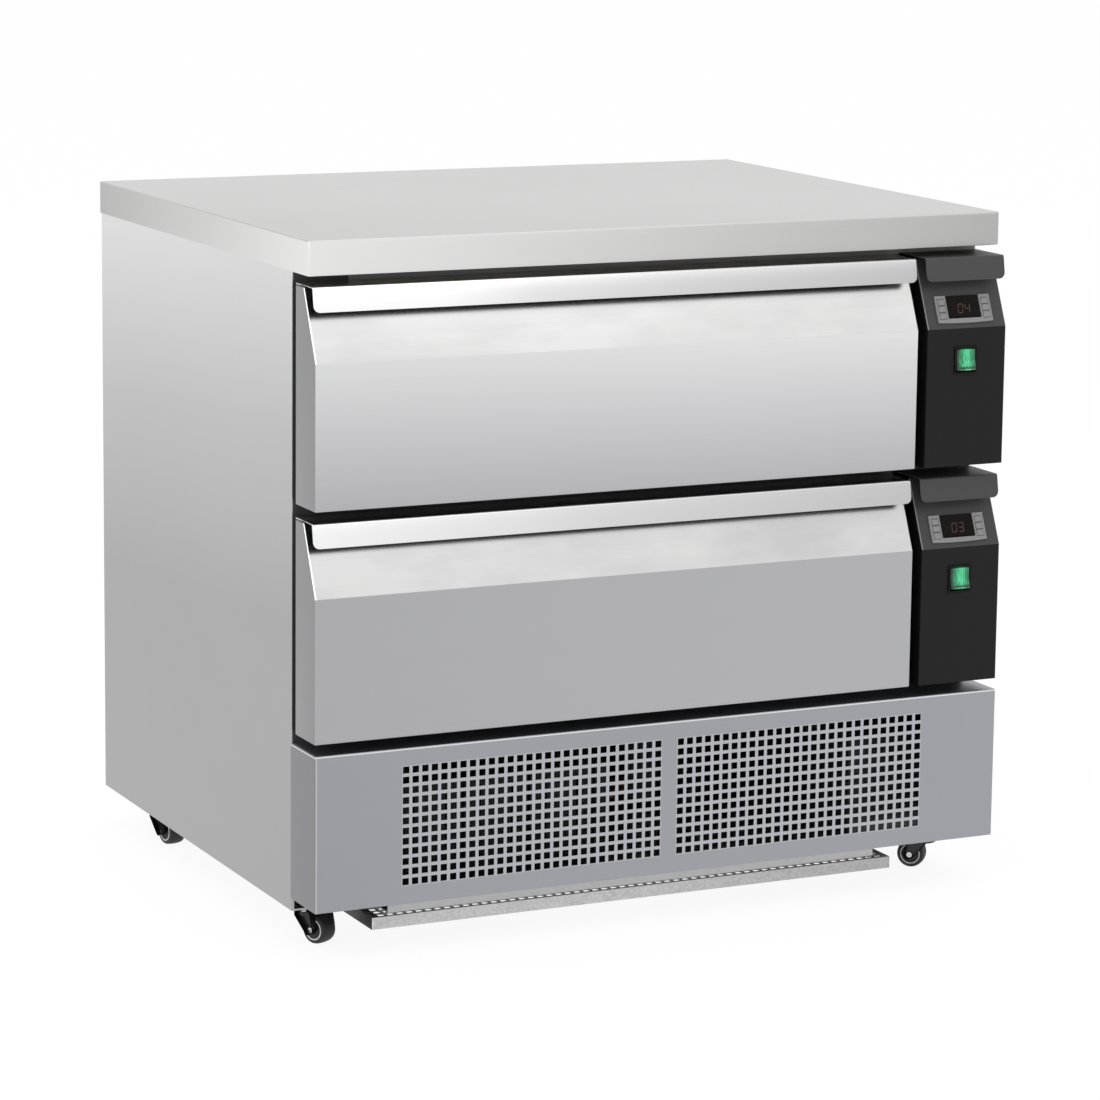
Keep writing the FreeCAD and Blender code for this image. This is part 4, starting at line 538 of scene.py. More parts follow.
def greenLens(name, level):
    # A ribbed, lit lens: painted upright glints in its middle, which glow more, and painted shade in a
    # row of dark notches above its lower edge and in a strip at its left.
    f = newFinish(name)
    rise = f.coordinate("Z") - (levelLow[level] + switch.drop) / 1000
    across = f.coordinate("X") - switch.middleX / 1000
    ribGlints = f.noise(1.0, 2.0, 0.5, (900, 900, 60))
    wide = f.noise(110.0, 2.0, 0.5)
    # Painted glint: the middle is lighter.
    middle = f.share(across, -0.009, 0.0) * f.share(across, 0.011, 0.003)
    tone = ribGlints * 0.75 + wide * 0.1 + middle * 0.22
    notch = f.reckon("SINE", across * 3140.0) * 0.0007
    notches = f.share(rise + notch, -0.0074, -0.0080) * f.share(rise, -0.0108, -0.0104)
    strip = f.share(across, -0.0094, -0.0102)
    shaded = f.reckon("MAXIMUM", notches, strip) * 0.85
    stops = [(0.3, (0.006, 0.1, 0.045)), (0.52, (0.012, 0.28, 0.11)), (0.72, (0.1, 0.7, 0.35))]
    green = f.node("ValToRGB", {"stops": stops}, {"Fac": tone})
    glow = f.mixed(f.share(tone, 0.4, 0.8), (0.0, 0.02, 0.008), (0.06, 0.6, 0.28))
    return f.shade(f.mixed(shaded, green, (0.002, 0.01, 0.006)), 0.16 + wide * 0.1,
                   {"Emission Color": f.mixed(shaded, glow, 0.0), "Emission Strength": 0.35,
                    "Coat Weight": 0.3, "Coat Roughness": 0.08})


def darkGlass(name):
    f = newFinish(name)
    smear = f.noise(120.0, 3.0, 0.6)
    return f.shade(f.mixed(smear, 0.001, (0.012, 0.009, 0.006)), 0.12 + smear * 0.2,
                   {"Specular IOR Level": 0.06})


def redDigit(name):
    f = newFinish(name)
    cells = f.noise(1600.0, 1.0)
    return f.shade(f.mixed(cells, (0.02, 0.004, 0.003), (0.035, 0.008, 0.005)), 0.4,
                   {"Emission Color": f.mixed(cells, (0.16, 0.03, 0.015), (0.26, 0.06, 0.03)),
                    "Emission Strength": 0.12})


def rubber(name, dark, light):
    f = newFinish(name)
    dust = f.noise(300.0, 5.0, 0.7)
    wide = f.noise(35.0, 3.0)
    return f.shade(f.mixed(wide * 0.5 + dust * 0.5, dark, light), 0.55 + dust * 0.15,
                   {"Normal": f.bump(dust, 0.35, 0.0003)})


# Dark tone, light tone and roughness come first; one number stands for a grey.
finishes = {
    "worktop": brushedSteel("worktopSteel", (0.79, 0.79, 0.785), (0.89, 0.89, 0.885), 0.36,
                            shading=worktopShading),
    "drawer": brushedSteel("drawerSteel", 0.53, (0.66, 0.66, 0.655), 0.2, cloud=3.5),
    # The two drawer fronts are one steel; their tones are painted light and shade, the lower one darker.
    "upperFront": frontSteel("upperFrontSteel", "upper", [(0.0, 0.48), (0.5, 0.62), (1.0, 0.775)],
                             [(0.34, 0.55), (0.5, 0.58), (0.62, 0.61)],
                             [(0.0, 1.0), (0.2, 0.98), (0.36, 0.78), (0.6, 0.66), (1.0, 0.54)]),
    "lowerFront": frontSteel("lowerFrontSteel", "lower", [(0.0, 0.45), (1.0, 0.45)],
                             [(0.34, 0.49), (0.5, 0.525), (0.62, 0.555)],
                             [(0.0, 0.92), (0.3, 0.78), (0.5, 0.67), (1.0, 0.55)]),
    "side": brushedSteel("sideSteel", 0.72, 0.8, 0.42, (420, 420, 1), shading=sideShading),
    "inner": brushedSteel("innerSteel", 0.45, 0.56, 0.34, (420, 1, 420)),
    "base": brushedSteel("basePanelSteel", (0.86, 0.865, 0.93), (0.93, 0.94, 1.0), 0.4, (420, 420, 1),
                         shading=baseShading),
    "back": zincSheet("backSheet", (0.38, 0.39, 0.4), (0.46, 0.47, 0.48), 0.38, shading=backShading),
    "chassis": zincSheet("chassisSheet", (0.4, 0.4, 0.405), 0.5, 0.4),
    "guard": zincSheet("guardSheet", 0.45, 0.68, 0.4, 420.0, guardShading),
    "runner": zincSheet("runnerSteel", (0.4, 0.4, 0.41), 0.56, 0.3, 90.0),
    "frame": frameCoat("frameCoat"),
    "upperCoat": housingCoat("upperHousingCoat", "upper"),
    "lowerCoat": housingCoat("lowerHousingCoat", "lower"),
    "blackPlastic": mouldedPlastic("blackPlastic", 0.008, 0.016, 0.35),
    "greyPlastic": mouldedPlastic("greyPlastic", 0.42, 0.52, 0.38),
    "boxPlastic": mouldedPlastic("boxPlastic", (0.05, 0.05, 0.052), (0.08, 0.08, 0.082), 0.5),
    "bezel": mouldedPlastic("bezelPlastic", (0.22, 0.22, 0.225), (0.3, 0.3, 0.305), 0.4),
    "keyRubber": mouldedPlastic("keyRubber", (0.24, 0.24, 0.245), (0.3, 0.3, 0.305), 0.5, 1200.0),
    "switchBlack": mouldedPlastic("switchBlack", 0.004, 0.008, 0.4, gloss=0.15),
    "hub": mouldedPlastic("hubPlastic", 0.035, 0.06, 0.4, gloss=0.3),
    "lightRing": mouldedPlastic("ringPlastic", (0.75, 0.75, 0.74), (0.86, 0.86, 0.85), 0.35),
    "paint": mouldedPlastic("compressorPaint", (0.01, 0.01, 0.011), 0.02, 0.3, 260.0, 0.15, 0.4),
    "glass": darkGlass("windowGlass"),
    "digit": redDigit("digitGlow"),
    "upperLens": greenLens("upperLens", "upper"),
    "lowerLens": greenLens("lowerLens", "lower"),
    "foam": foamSkin("foamSkin"),
    "seal": rubber("sealRubber", (0.014, 0.014, 0.015), 0.03),
    "tyre": rubber("tyreRubber", 0.008, 0.022),
    "bolt": zincSheet("boltZinc", 0.5, 0.75, 0.2, 500.0),
    "copper": brushedSteel("copperTube", (0.55, 0.24, 0.13), (0.8, 0.4, 0.25), 0.3, (160, 160, 160), 12.0,
                           0.1),
    "condenser": finnedMetal("condenserFins", "X", 0.0025, (0.04, 0.04, 0.042)),
    "evaporator": finnedMetal("evaporatorFins", "Y", 0.004, (0.3, 0.31, 0.32)),
}
print("finishes made:", len(finishes))

# The CAD nodes that wear each finish. The others wear the drawer's.
dressing = {
    "side": "left_side_panel right_side_panel",
    "back": "back_panel",
    "frame": "front_frame",
    "foam": "insulation",
    "inner": "compartment_liners upper_drawer_box lower_drawer_box",
    "runner": "cabinet_runners upper_middle_runners lower_middle_runners",
    "chassis": "base_chassis",
    "upperCoat": "upper_control_housing",
    "lowerCoat": "lower_control_housing",
    "evaporator": "evaporators",
    "paint": "compressor",
    "condenser": "condenser_coil",
    "blackPlastic": "condenser_fan_shroud caster_plates cable_gland condenser_fan "
                    "upper_evaporator_fan lower_evaporator_fan switch_bezels",
    "copper": "refrigerant_pipes",
    "boxPlastic": "electrical_box",
    "seal": "upper_drawer_gasket lower_drawer_gasket",
    "worktop": "worktop",
    "base": "base_panel",
    "guard": "bottom_guard",
    "greyPlastic": "controller_bezels",
    "glass": "display_windows",
}
nodeFinish = {name: finish for finish, names in dressing.items() for name in names.split()}
for nodeName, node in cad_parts.items():
    node.data.materials.clear()
    node.data.materials.append(finishes[nodeFinish.get(nodeName, "drawer")])
print("CAD nodes dressed:", len(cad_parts))


# Worktop: a folded tray with round corners, its hem turned in below.

worktop = Sizes(width=900.0, depth=700.0, low=790.0, high=830.0, y=13.0, corner=4.0, fold=1.8,
                sheet=1.5, hem=22.0)


def makeWorktop():
    w = worktop
    turn = np.linspace(0, math.pi / 2, 6)
    over = np.stack([w.fold * (1 - np.sin(turn)), w.high - w.fold * (1 - np.cos(turn))], 1)
    under = [(0, w.low + 0.8), (0.3, w.low + 0.2), (0.8, w.low), (w.hem, w.low),
             (w.hem, w.low + w.sheet), (w.sheet, w.low + w.sheet), (w.sheet, w.high - w.sheet)]
    profile = np.concatenate([over, under])
    points = ring(w.width, w.depth, w.corner, profile)
    rows, columns = points.shape[:2]
    faces = gridFaces(rows, columns, closedRows=True)
    count = np.arange(rows) * columns
    faces += [count.tolist(), (count + columns - 1)[::-1].tolist()]
    points = points.reshape(-1, 3) + [0, w.y, 0]
    meshPiece("worktopTray", points, faces, "worktop", "cabinet", ["worktop"])


# Drawer fronts: upright face, slanted face and a handle lip turned down in front of it.

drawerFront = Sizes(left=-450.0, right=327.5, fold=1.5, kinkFold=2.5, edge=1.3, **fold)


def makeDrawerFront(level):
    d = drawerFront
    top, tip = d.tall, d.tall - d.lipDrop
    under = top - d.lipSheet
    tipY = d.lipSet - d.lipLean
    slantTop = d.slantBack - d.lipSheet * d.slantBack / d.slantHigh
    corners = [(d.deep, 0), (0, 0), (0, top - d.slantHigh), (slantTop, under),
               (d.lipSet + d.lipSheet, under), (tipY + d.lipSheet, tip), (tipY, tip), (d.lipSet, top),
               (d.deep, top)]
    radii = [0.01, d.fold, d.kinkFold, 0.6, 1.0, 0.6, 0.6, d.lipFold, 0.01]
    contour = roundedCorners(corners, radii, 6)

    def liftLip(shape, distance):
        # The lower edge of the lip rises near each end along a quarter circle.
        away = np.clip(d.lipCorner - distance, 0, d.lipCorner)
        lift = d.lipCorner - np.sqrt(d.lipCorner ** 2 - away ** 2)
        onLip = (shape[:, 0] < d.lipSet + 2 * d.lipSheet) & (shape[:, 1] > tip - 0.1)
        share = np.clip((under - shape[:, 1]) / (under - tip), 0, 1) * onLip
        return lift[:, None, None] * share[None, :, None] * np.array([d.lipLean / d.lipDrop, 1.0])

    points, faces = bar(contour, d.left, d.right, d.edge, liftLip)
    points = points + [0, faceY, levelLow[level]]
    meshPiece(f"{level}DrawerFront", points, faces, f"{level}Front", f"{level}_drawer",
              [f"{level}_drawer_front", f"{level}_drawer_core"])


# Base panel and bottom guard: real square holes of 8 mm at a pitch of 12 mm.


def perforated(xLow, xHigh, yLow, yHigh, xHoles, yHoles, hole, low, high):
    # Lines at both sides of every hole cut the sheet into cells, and the holes' cells are left out.
    xSpans, ySpans = spansAbout(xHoles, hole / 2), spansAbout(yHoles, hole / 2)
    xLines, yLines = lines([xLow, xHigh], *xSpans), lines([yLow, yHigh], *ySpans)
    solid = ~(inside(xLines, xSpans)[:, None] & inside(yLines, ySpans)[None])
    return steppedPlate(xLines, yLines, np.full(solid.shape, high), np.full(solid.shape, low), solid)


def makeBasePanel():
    b = basePanel
    tall, middle = b.high - b.low, (b.high + b.low) / 2
    columns = np.concatenate([first + b.pitch * np.arange(b.columns) for first in b.firstX])
    rows = b.firstZ + b.pitch * np.arange(b.rows) - middle
    half, up = b.width / 2 - b.fold, tall / 2 - b.fold
    face = perforated(-half, half, -up, up, columns, rows, b.hole, 0.0, b.sheet)
    turn = np.linspace(0, math.pi / 2, 6)
    outer = np.stack([b.fold * (1 - np.sin(turn)), b.fold * (1 - np.cos(turn))], 1)
    inner = [(0, b.deep), (b.sheet, b.deep), (b.sheet, b.sheet + 0.4), (b.fold, b.sheet)]
    profile = np.concatenate([outer, inner])
    rim = ring(b.width, tall, 1.6, profile)
    points, faces = joinShells(face, (rim, gridFaces(*rim.shape[:2], True, True)))
    placed = np.stack([points[:, 0], faceY + points[:, 2], middle + points[:, 1]], 1)
    meshPiece("basePanelSheet", placed, faces, "base", "cabinet", ["base_panel"])


def makeGuard():
    g = guard
    width, depth = g.right - g.left, g.back - g.front
    columns = g.pitch * (np.arange(g.columns) - (g.columns - 1) / 2)
    rows = g.firstY + g.pitch * np.arange(g.rows)
    edge = g.sheet
    top = perforated(-width / 2 + edge, width / 2 - edge, edge, depth, columns, rows, g.hole, -edge, 0.0)
    # The lip is one strip folded round the front and both sides, and open to the back.
    path = np.array([(-width / 2, depth), (-width / 2, 0), (width / 2, 0), (width / 2, depth)])
    inner = path + [(edge, 0), (edge, edge), (-edge, edge), (-edge, 0)]
    heights = np.array([0.0, -0.35, -g.lip])
    setIn = np.array([0.35, 0.0, 0.0])
    outside = path[:, None] * [1, 1] + (inner - path)[:, None] * setIn[None, :, None] / edge
    edges = [(outside, heights), (np.repeat(inner[:, None], 2, 1), np.array([-g.lip, 0.0]))]
    strip = np.concatenate([np.concatenate([flat, np.broadcast_to(up[None, :, None], (4, len(up), 1))], 2)
                            for flat, up in edges], 1)
    faces = gridFaces(4, 5, closedColumns=True) + [list(range(5)), list(range(15, 20))[::-1]]
    points, faces = joinShells(top, (strip, faces))
    points = points + [(g.left + g.right) / 2, g.front, g.high]
    meshPiece("bottomGuardSheet", points, faces, "guard", "cabinet", ["bottom_guard"])


# Controllers on the slanted faces, and rocker switches under them.

control = Sizes(middleX=394.0, rise=24.0, width=76.0, height=33.5, proud=2.4, bow=1.2, windowWide=46.0,
                windowHigh=24.0, windowDeep=1.2, keyWide=9.6, keyHigh=7.6, keyPitch=8.6, keyApart=60.4,
                keyPlay=0.3, wellDeep=1.7, keyFloat=0.7, keyThick=2.0)


def onSlant(level, points):
    # (across, up the slope, out of the face) becomes a point of the part's frame.
    length = math.hypot(fold.slantHigh, fold.slantBack)
    sine, cosine = fold.slantHigh / length, fold.slantBack / length
    across, rise, out = points.reshape(-1, 3).T
    low = levelLow[level] + fold.tall - fold.slantHigh
    return np.stack([control.middleX + across, faceY + rise * cosine - out * sine,
                     low + rise * sine + out * cosine], 1)


def makeController(level):
    c = control
    keyX, play = c.keyApart / 2, c.keyPlay
    wide, high = c.keyWide / 2 + play, c.keyHigh / 2 + play
    keyRows = c.keyPitch * np.array([-1.0, 0.0, 1.0])
    half, up = c.width / 2, c.height / 2
    windowX, windowUp = c.windowWide / 2, c.windowHigh / 2
    xKeys, yKeys = spansAbout((-keyX, keyX), wide), spansAbout(keyRows, high)
    xLines = lines([-half, half], *xKeys, np.linspace(-windowX, windowX, 9))
    yLines = lines([-up, up, -windowUp, windowUp], *yKeys)
    key = inside(xLines, xKeys)[:, None] & inside(yLines, yKeys)[None]
    window = inside(xLines, [(-windowX, windowX)])[:, None] & inside(yLines, [(-windowUp, up)])[None]
    top = np.full(key.shape, c.proud)
    top[key] -= c.wellDeep
    top[window] -= c.windowDeep
    points, faces = steppedPlate(xLines, yLines, top, np.zeros(top.shape), np.ones(top.shape, bool))
    # The lower edge bows down towards the middle, as a parabola across the width.
    low = points[:, 1] < -up + 0.01
    points[low, 1] -= c.bow * (1 - (points[low, 0] / half) ** 2)
    points[:, 1] += c.rise
    bezel = meshPiece(f"{level}ControllerBezel", onSlant(level, points), faces, "bezel",
                      "cabinet", ["controller_bezels"])
    soften = bezel.modifiers.new("softEdges", "BEVEL")
    soften.width, soften.segments, soften.limit_method = 0.0003, 2, "ANGLE"
    # The window reaches from its lower frame to the top of the bezel.
    glass, glassFaces = pillow(c.windowWide - 0.2, up + windowUp - 0.2, c.windowDeep, 16, 15)
    glass = glass + [0, c.rise + (up - windowUp) / 2, c.proud - c.windowDeep + 0.02]
    meshPiece(f"{level}Window", onSlant(level, glass), glassFaces, "glass", "cabinet",
              ["display_windows"])
    number = 0
    for side in (-1, 1):
        for row in keyRows[::-1]:
            number += 1
            cap, capFaces = pillow(c.keyWide, c.keyHigh, c.keyThick, 9, 11)
            cap = cap + [side * keyX, c.rise + row, c.proud - c.wellDeep + c.keyFloat]
            body = f"{level}_key_{number}"
            meshPiece(f"{level}Key{number}", onSlant(level, cap), capFaces, "keyRubber", body,
                      [body])


digits = Sizes(high=11.0, wide=6.2, stroke=1.1, lean=0.12, pitch=9.6, rise=0.06, upper="04", lower="03")
segmentsOf = {"0": "abcdef", "3": "abcdg", "4": "bcfg"}


def makeDigits(level):
    # Seven bars to a digit; each is a flat six-cornered strip with pointed ends.
    g, c = digits, control
    half, wide, thin = g.high / 2, g.wide / 2, g.stroke / 2
    bars = {"a": (0, half, 0), "b": (wide, half / 2, 1), "c": (wide, -half / 2, 1), "d": (0, -half, 0),
            "e": (-wide, -half / 2, 1), "f": (-wide, half / 2, 1), "g": (0, 0, 0)}
    shells = []
    for number, figure in enumerate(g[level]):
        for letter in segmentsOf[figure]:
            x, y, upright = bars[letter]
            long = (half if upright else g.wide) / 2 - 0.3
            strip = np.array([(-long, 0), (-long + thin, thin), (long - thin, thin), (long, 0),
                              (long - thin, -thin), (-long + thin, -thin)])
            strip = strip[:, ::-1] if upright else strip
            flat = strip + [x, y]
            flat[:, 0] += flat[:, 1] * g.lean + (number - (len(g[level]) - 1) / 2) * g.pitch
            front = np.column_stack([flat, np.full(6, g.rise)])
            shell = np.concatenate([front, front - [0, 0, g.rise * 1.5]])
            sides = [[i, (i + 1) % 6, (i + 1) % 6 + 6, i + 6] for i in range(6)]
            shells.append((shell, [list(range(6)), list(range(11, 5, -1))] + sides))
    points, faces = joinShells(*shells)
    points = points + [0, c.rise, c.proud]
    meshPiece(f"{level}Digits", onSlant(level, points), faces, "digit", "cabinet")


def makeSwitch(level):
    s = switch
    centreZ = levelLow[level] + s.drop
    sideIn, endIn = (s.width - s.rockerWide) / 2 - 0.4, 2.9
    profile = [(0, 0), (0, s.proud - 0.6), (0.2, s.proud - 0.2), (0.6, s.proud), (1.9, s.proud),
               (sideIn, s.proud - 0.8), (sideIn, -s.sleeve), (sideIn - 0.8, -s.sleeve),
               (sideIn - 0.8, 0)]
    points = ring(s.width, s.height, s.corner, profile)
    faces = gridFaces(*points.shape[:2], True, True)
    flat = points.reshape(-1, 3)
    placed = np.stack([s.middleX + flat[:, 0], faceY - flat[:, 2], centreZ + flat[:, 1]], 1)
    meshPiece(f"{level}SwitchBezel", placed, faces, "switchBlack", "cabinet",
              ["switch_bezels"])
    swing = math.radians(s.swing)
    ridgeY, ridgeZ = -s.pivot * math.cos(swing / 2), s.pivot * math.sin(swing / 2)
    lowY, lowZ = ridgeY - s.half * math.sin(swing), ridgeZ - s.half * math.cos(swing)
    corners = [(ridgeY, ridgeZ), (ridgeY, s.half), (ridgeY + 4, s.half), (3.5, 4), (3.5, -4),
               (lowY + 6, lowZ), (lowY, lowZ)]
    contour = roundedCorners(corners, [6.0, 0.9, 0.5, 1.0, 1.0, 0.5, 0.9])
    half = s.rockerWide / 2
    points, faces = bar(contour, s.middleX - half, s.middleX + half, 0.8)
    points = points + [0, s.pivotY, centreZ]
    meshPiece(f"{level}Rocker", points, faces, f"{level}Lens", f"{level}_rocker",
              [f"{level}_switch_rocker"])


# Casters: a pressed fork with a round cap, a crowned tyre, a light ring and a shiny bolt.

caster = Sizes(wheelR=17.5, half=11.0, hubR=12.5, offset=13.0, cap=16.5, capHigh=42.5, capDeep=9.0,
               sheet=2.0, play=0.5, end=7.0, boltR=4.0, boltHigh=2.2,
               spots={"front_left": (-414.5, -261.0, 25.0), "front_right": (410.5, -261.0, 227.0),
                      "rear_left": (-414.5, 224.0, 10.0), "rear_right": (410.5, 224.0, 15.0)})


def atCaster(corner, points):
    x, y, turn = caster.spots[corner]
    angle = math.radians(turn)
    across, along, up = points.T
    return np.stack([x + across * math.cos(angle) - along * math.sin(angle),
                     y + across * math.sin(angle) + along * math.cos(angle), up], 1)


def titleOf(corner):
    title = corner.title().replace("_", "")
    return title[0].lower() + title[1:]


def makeWheel(corner):
    c = caster
    body = f"{corner}_caster_wheel"
    title = titleOf(corner)
    axle = [0, -c.offset, c.wheelR]
    turn = np.linspace(-math.pi / 2, math.pi / 2, 19)
    shoulder = c.hubR + 2.0
    wide, seat = c.half - 0.3, c.hubR - 0.4
    crownR = shoulder + (c.wheelR - shoulder) * np.cos(turn) ** 0.55
    crown = np.stack([wide * np.sin(turn), crownR], 1)
    tyre = np.concatenate([[(-wide, seat)], crown, [(wide, seat)]])
    points, faces = turnedShell(tyre, 64)
    meshPiece(f"{title}Tyre", atCaster(corner, points + axle), faces, "tyre", body, [body])
    hub = []
    for side in (1, -1):
        face = [(3.1, 10.8), (5.2, 10.8), (6.0, 10.2), (7.0, 8.8), (9.0, 8.6), (10.6, 9.6), (11.4, 10.4),
                (12.1, 10.4)]
        hub += [(side * x, r) for r, x in (face if side > 0 else face[::-1])]
    points, faces = turnedShell(hub, 48)
    meshPiece(f"{title}Hub", atCaster(corner, points + axle), faces, "hub", body, [body])
    around = np.arange(10) * math.tau / 10
    rings = []
    for side in (-1, 1):
        bead = np.stack([side * (c.half - 0.55) + 0.55 * np.cos(around),
                         c.hubR - 0.7 + 0.95 * np.sin(around)], 1)
        points, faces = turnedShell(bead, 48)
        rings.append((points + axle, faces))
    points, faces = joinShells(*rings)
    meshPiece(f"{title}Ring", atCaster(corner, points), faces, "lightRing", body, [body])


def makeFork(corner):
    c = caster
    body = f"{corner}_caster_fork"
    title = titleOf(corner)
    top, under = c.capHigh, c.capHigh - c.capDeep
    wide = c.half + c.play
    r = c.cap
    cap = [(under, r), (top - 2.0, r), (top - 0.6, r - 0.7), (top, r - 2.0), (top, 0.02), (top - 2, 0.02),
           (top - 2, r - 2.4), (under, r - 2.0)]
    points, faces = turnedShell(cap, 48)
    shells = [(np.stack([points[:, 1], points[:, 2], points[:, 0]], 1), faces)]
    arm = [(r / 2, top - c.sheet), (-r / 2 - c.offset / 2, top - c.sheet),
           (-c.offset - c.end, c.wheelR), (-c.offset, c.wheelR - c.end),
           (-c.offset + c.end, c.wheelR), (r / 2, under)]
    outline = roundedCorners(arm, [1.0, 3.0, 6.0, 5.5, 6.0, 1.0], 7)
    for low, high in ((-wide - c.sheet, -wide), (wide, wide + c.sheet)):
        shells.append(bar(outline, low, high, 0.35))
    end = wide + 1
    axle, axleFaces = turnedShell([(-end, 0.02), (-end, 3.0), (end, 3.0), (end, 0.02)], 24)
    shells.append((axle + [0, -c.offset, c.wheelR], axleFaces))
    points, faces = joinShells(*shells)
    meshPiece(f"{title}Fork", atCaster(corner, points), faces, "blackPlastic", body, [body])
    # Bolt heads: six sides whose radius is drawn in towards the rim, with a round boss on top.
    bolts = []
    angle = (np.arange(48) * math.tau / 48)[:, None]
    six = 1 / np.cos((angle + math.pi / 6) % (math.pi / 3) - math.pi / 6) * math.cos(math.pi / 6)
    steps = [(0, 0.02, 0), (0, 1.0, 1), (1.7, 1.0, 1), (2.2, 0.86, 0), (2.2, 0.45, 0), (1.7, 0.38, 0),
             (1.7, 0.02, 0)]
    out, share, shaped = np.array(steps).T[:, None]
    radius = c.boltR * share * (1 + shaped * (six - 1))
    for side in (-1, 1):
        x = side * (wide + c.sheet + out) * np.ones_like(radius)
        shell = np.stack([x, radius * np.sin(angle), radius * np.cos(angle)], -1)
        shell = shell.reshape(-1, 3) + [0, -c.offset, c.wheelR]
        bolts.append((shell, gridFaces(48, len(steps), True, True)))
    points, faces = joinShells(*bolts)
    meshPiece(f"{title}Bolt", atCaster(corner, points), faces, "bolt", body, [body])


# Hexagon screw heads on the back panel, under the caster plates and under the guard's pads.

screw = Sizes(radius=3.0, high=2.4, chamfer=0.4, plateApart=15.0, plateZ=43.0, padZ=41.6,
              backX=(-410.0, 0.0, 410.0), backZ=(57.5, 235.0, 778.0), backY=359.0,
              padSpots=((-334.0, -289.0), (-27.0, -289.0), (278.5, -289.0), (-347.0, 92.0),
                        (-27.0, 92.0), (293.0, 92.0)))


def screwHeads(spots):
    # A six-sided profile of (radius, height) about each spot, with a shallow socket in its top.
    c = screw
    around = np.arange(6) * math.tau / 6
    profile = [(0.02, 0), (c.radius, 0), (c.radius, c.high - c.chamfer),
               (c.radius - c.chamfer, c.high), (1.3, c.high), (1.0, c.high - 1.1),
               (0.02, c.high - 1.1)]
    radius, height = np.array(profile).T[:, None]
    head = np.stack([radius * np.cos(around)[:, None], radius * np.sin(around)[:, None],
                     np.broadcast_to(height, (6, len(profile)))], -1)
    faces = gridFaces(6, len(profile), True, True)
    return joinShells(*[(head + [x, y, 0], faces) for x, y in spots])


def makeScrews():
    c = screw
    heads, faces = screwHeads([(x, z) for x in c.backX for z in c.backZ])
    placed = np.stack([heads[:, 0], c.backY + heads[:, 2], heads[:, 1]], 1)
    meshPiece("backScrews", placed, faces, "bolt", "cabinet")
    apart = c.plateApart
    spots = [(x + i * apart, y + j * apart) for x, y, _ in caster.spots.values()
             for i in (-1, 1) for j in (-1, 1)]
    groups = (("plateScrews", spots, c.plateZ), ("padScrews", c.padSpots, c.padZ))
    for name, places, high in groups:
        heads, faces = screwHeads(places)
        meshPiece(name, heads * [1, 1, -1] + [0, 0, high], faces, "bolt", "cabinet")


makeWorktop()
for level in levelLow:
    makeDrawerFront(level)
    makeController(level)
    makeDigits(level)
    makeSwitch(level)
print("fronts and controls made")
makeBasePanel()
makeGuard()
for corner in caster.spots:
    makeWheel(corner)
    makeFork(corner)
makeScrews()
print("base, casters and screws made")


# Floor, light and camera

studio = Sizes(floorHalf=60.0, floorTone=0.86, glow=0.85, bright=1.06, sky=0.72)


def seenShare(f):
    # One for what is looked at, straight, in a reflection or through glass, and none for light.
    path = [f.node("LightPath", output=name)
            for name in ("Is Camera Ray", "Is Glossy Ray", "Is Transmission Ray")]
    return path[0] + path[1] + path[2]


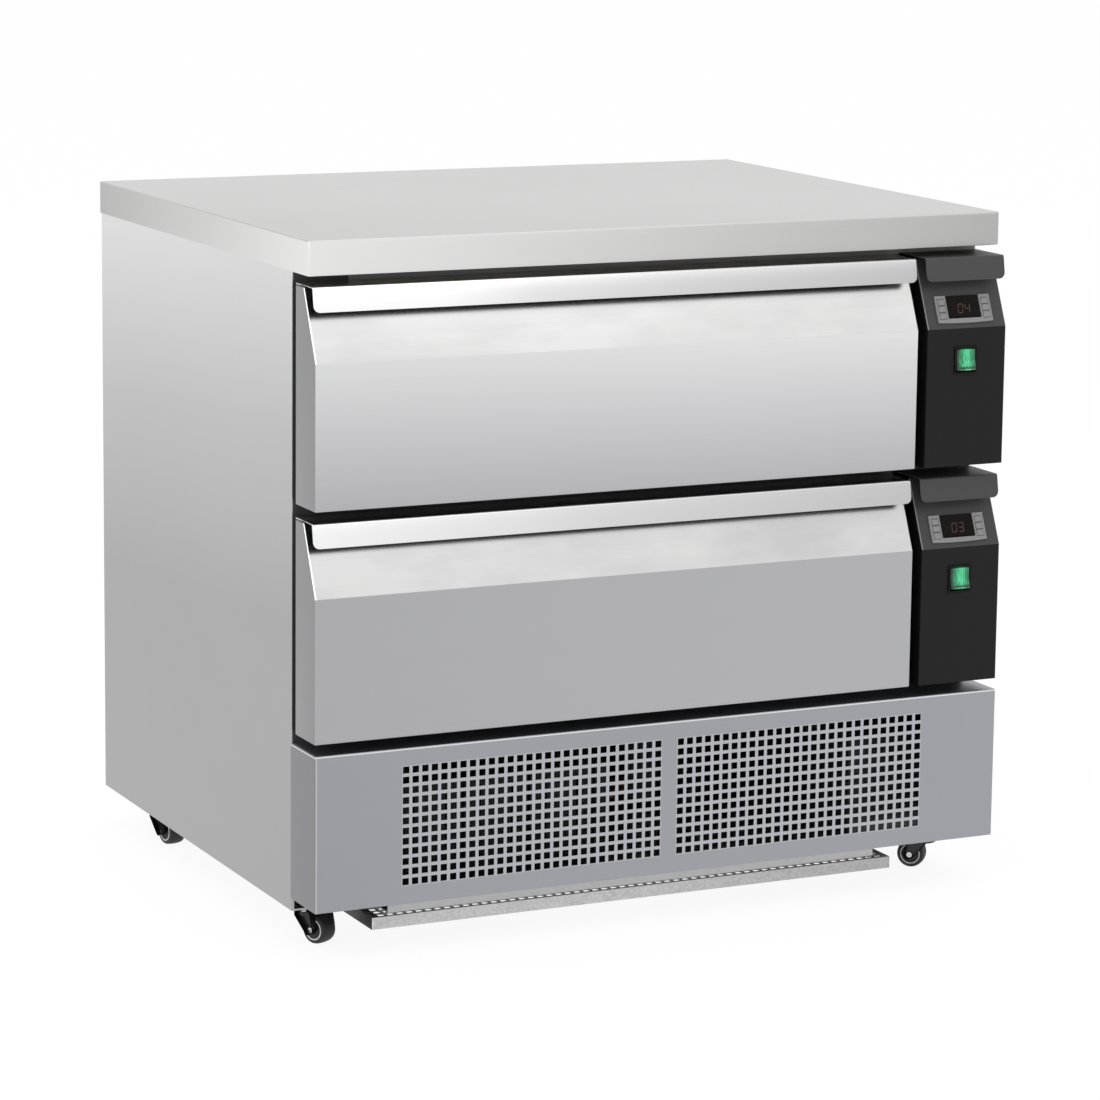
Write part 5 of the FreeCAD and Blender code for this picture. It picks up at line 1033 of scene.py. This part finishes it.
def makeStage():
    mesh = bpy.data.meshes.new("floor")
    h = studio.floorHalf
    mesh.from_pydata([(-h, -h, 0), (h, -h, 0), (h, h, 0), (-h, h, 0)], [], [(0, 1, 2, 3)])
    added("floor", mesh)
    f = newFinish("floorPaint")
    seen = seenShare(f) * studio.glow
    matt = f.node("BsdfDiffuse", None, {"Color": (studio.floorTone,) * 3 + (1,)})
    glow = f.node("Emission", None, {"Color": (1, 1, 1, 1), "Strength": studio.bright})
    both = f.node("MixShader", None, {0: seen, 1: matt, 2: glow})
    f.node("OutputMaterial", None, {"Surface": both})
    mesh.materials.append(f.holder)
    world = bpy.data.worlds.new("studio")
    scene.world = world
    w = Finish(world)
    white = w.node("Background", None, {"Color": (1, 1, 1, 1), "Strength": 1.0})
    soft = w.node("Background", None, {"Color": (1, 1, 1, 1), "Strength": studio.sky})
    both = w.node("MixShader", None, {0: seenShare(w), 1: soft, 2: white})
    w.node("OutputWorld", None, {"Surface": both})


lamps = {
    "slantSoftbox": {"place": (2.0, -3.4, 3.0), "size": (3.6, 2.2), "power": 14.0},
    "leftSoftbox": {"place": (-4.2, -1.6, 2.6), "size": (3.0, 2.4), "power": 36.0},
    "topSoftbox": {"place": (0.2, 0.4, 4.2), "size": (4.0, 4.0), "power": 40.0},
}


def makeLamps():
    target = Vector((0, 0, 0.45))
    for name, facts in lamps.items():
        light = bpy.data.lights.new(name, "AREA")
        light.shape, (light.size, light.size_y), light.energy = "RECTANGLE", facts["size"], facts["power"]
        lamp = added(name, light)
        lamp.location = facts["place"]
        lamp.rotation_euler = (target - Vector(facts["place"])).to_track_quat("-Z", "Y").to_euler()


viewpoint = Sizes(place=(-2.1627, -4.5366, 1.3566), turn=25.62, dip=9.52, roll=0.65,
                  lens=4089.0 / 1100 * 36, shiftUp=-100 / 1100)


def makeCamera():
    v = viewpoint
    turn, dip, roll = (math.radians(v[key]) for key in ("turn", "dip", "roll"))
    ahead = Vector((math.sin(turn) * math.cos(dip), math.cos(turn) * math.cos(dip), -math.sin(dip)))
    level = Vector((math.cos(turn), -math.sin(turn), 0))
    above = level.cross(ahead)
    right = level * math.cos(roll) + above * math.sin(roll)
    up = above * math.cos(roll) - level * math.sin(roll)
    data = bpy.data.cameras.new("viewCamera")
    data.sensor_width, data.lens, data.shift_y = 36.0, v.lens, v.shiftUp
    data.clip_end = 200.0
    lens = added("viewCamera", data)
    lens.matrix_world = Matrix.Translation(v.place) @ Matrix((right, up, -ahead)).transposed().to_4x4()
    scene.camera = lens


makeStage()
makeLamps()
makeCamera()
scene.view_settings.view_transform = "Standard"
print("stage ready")
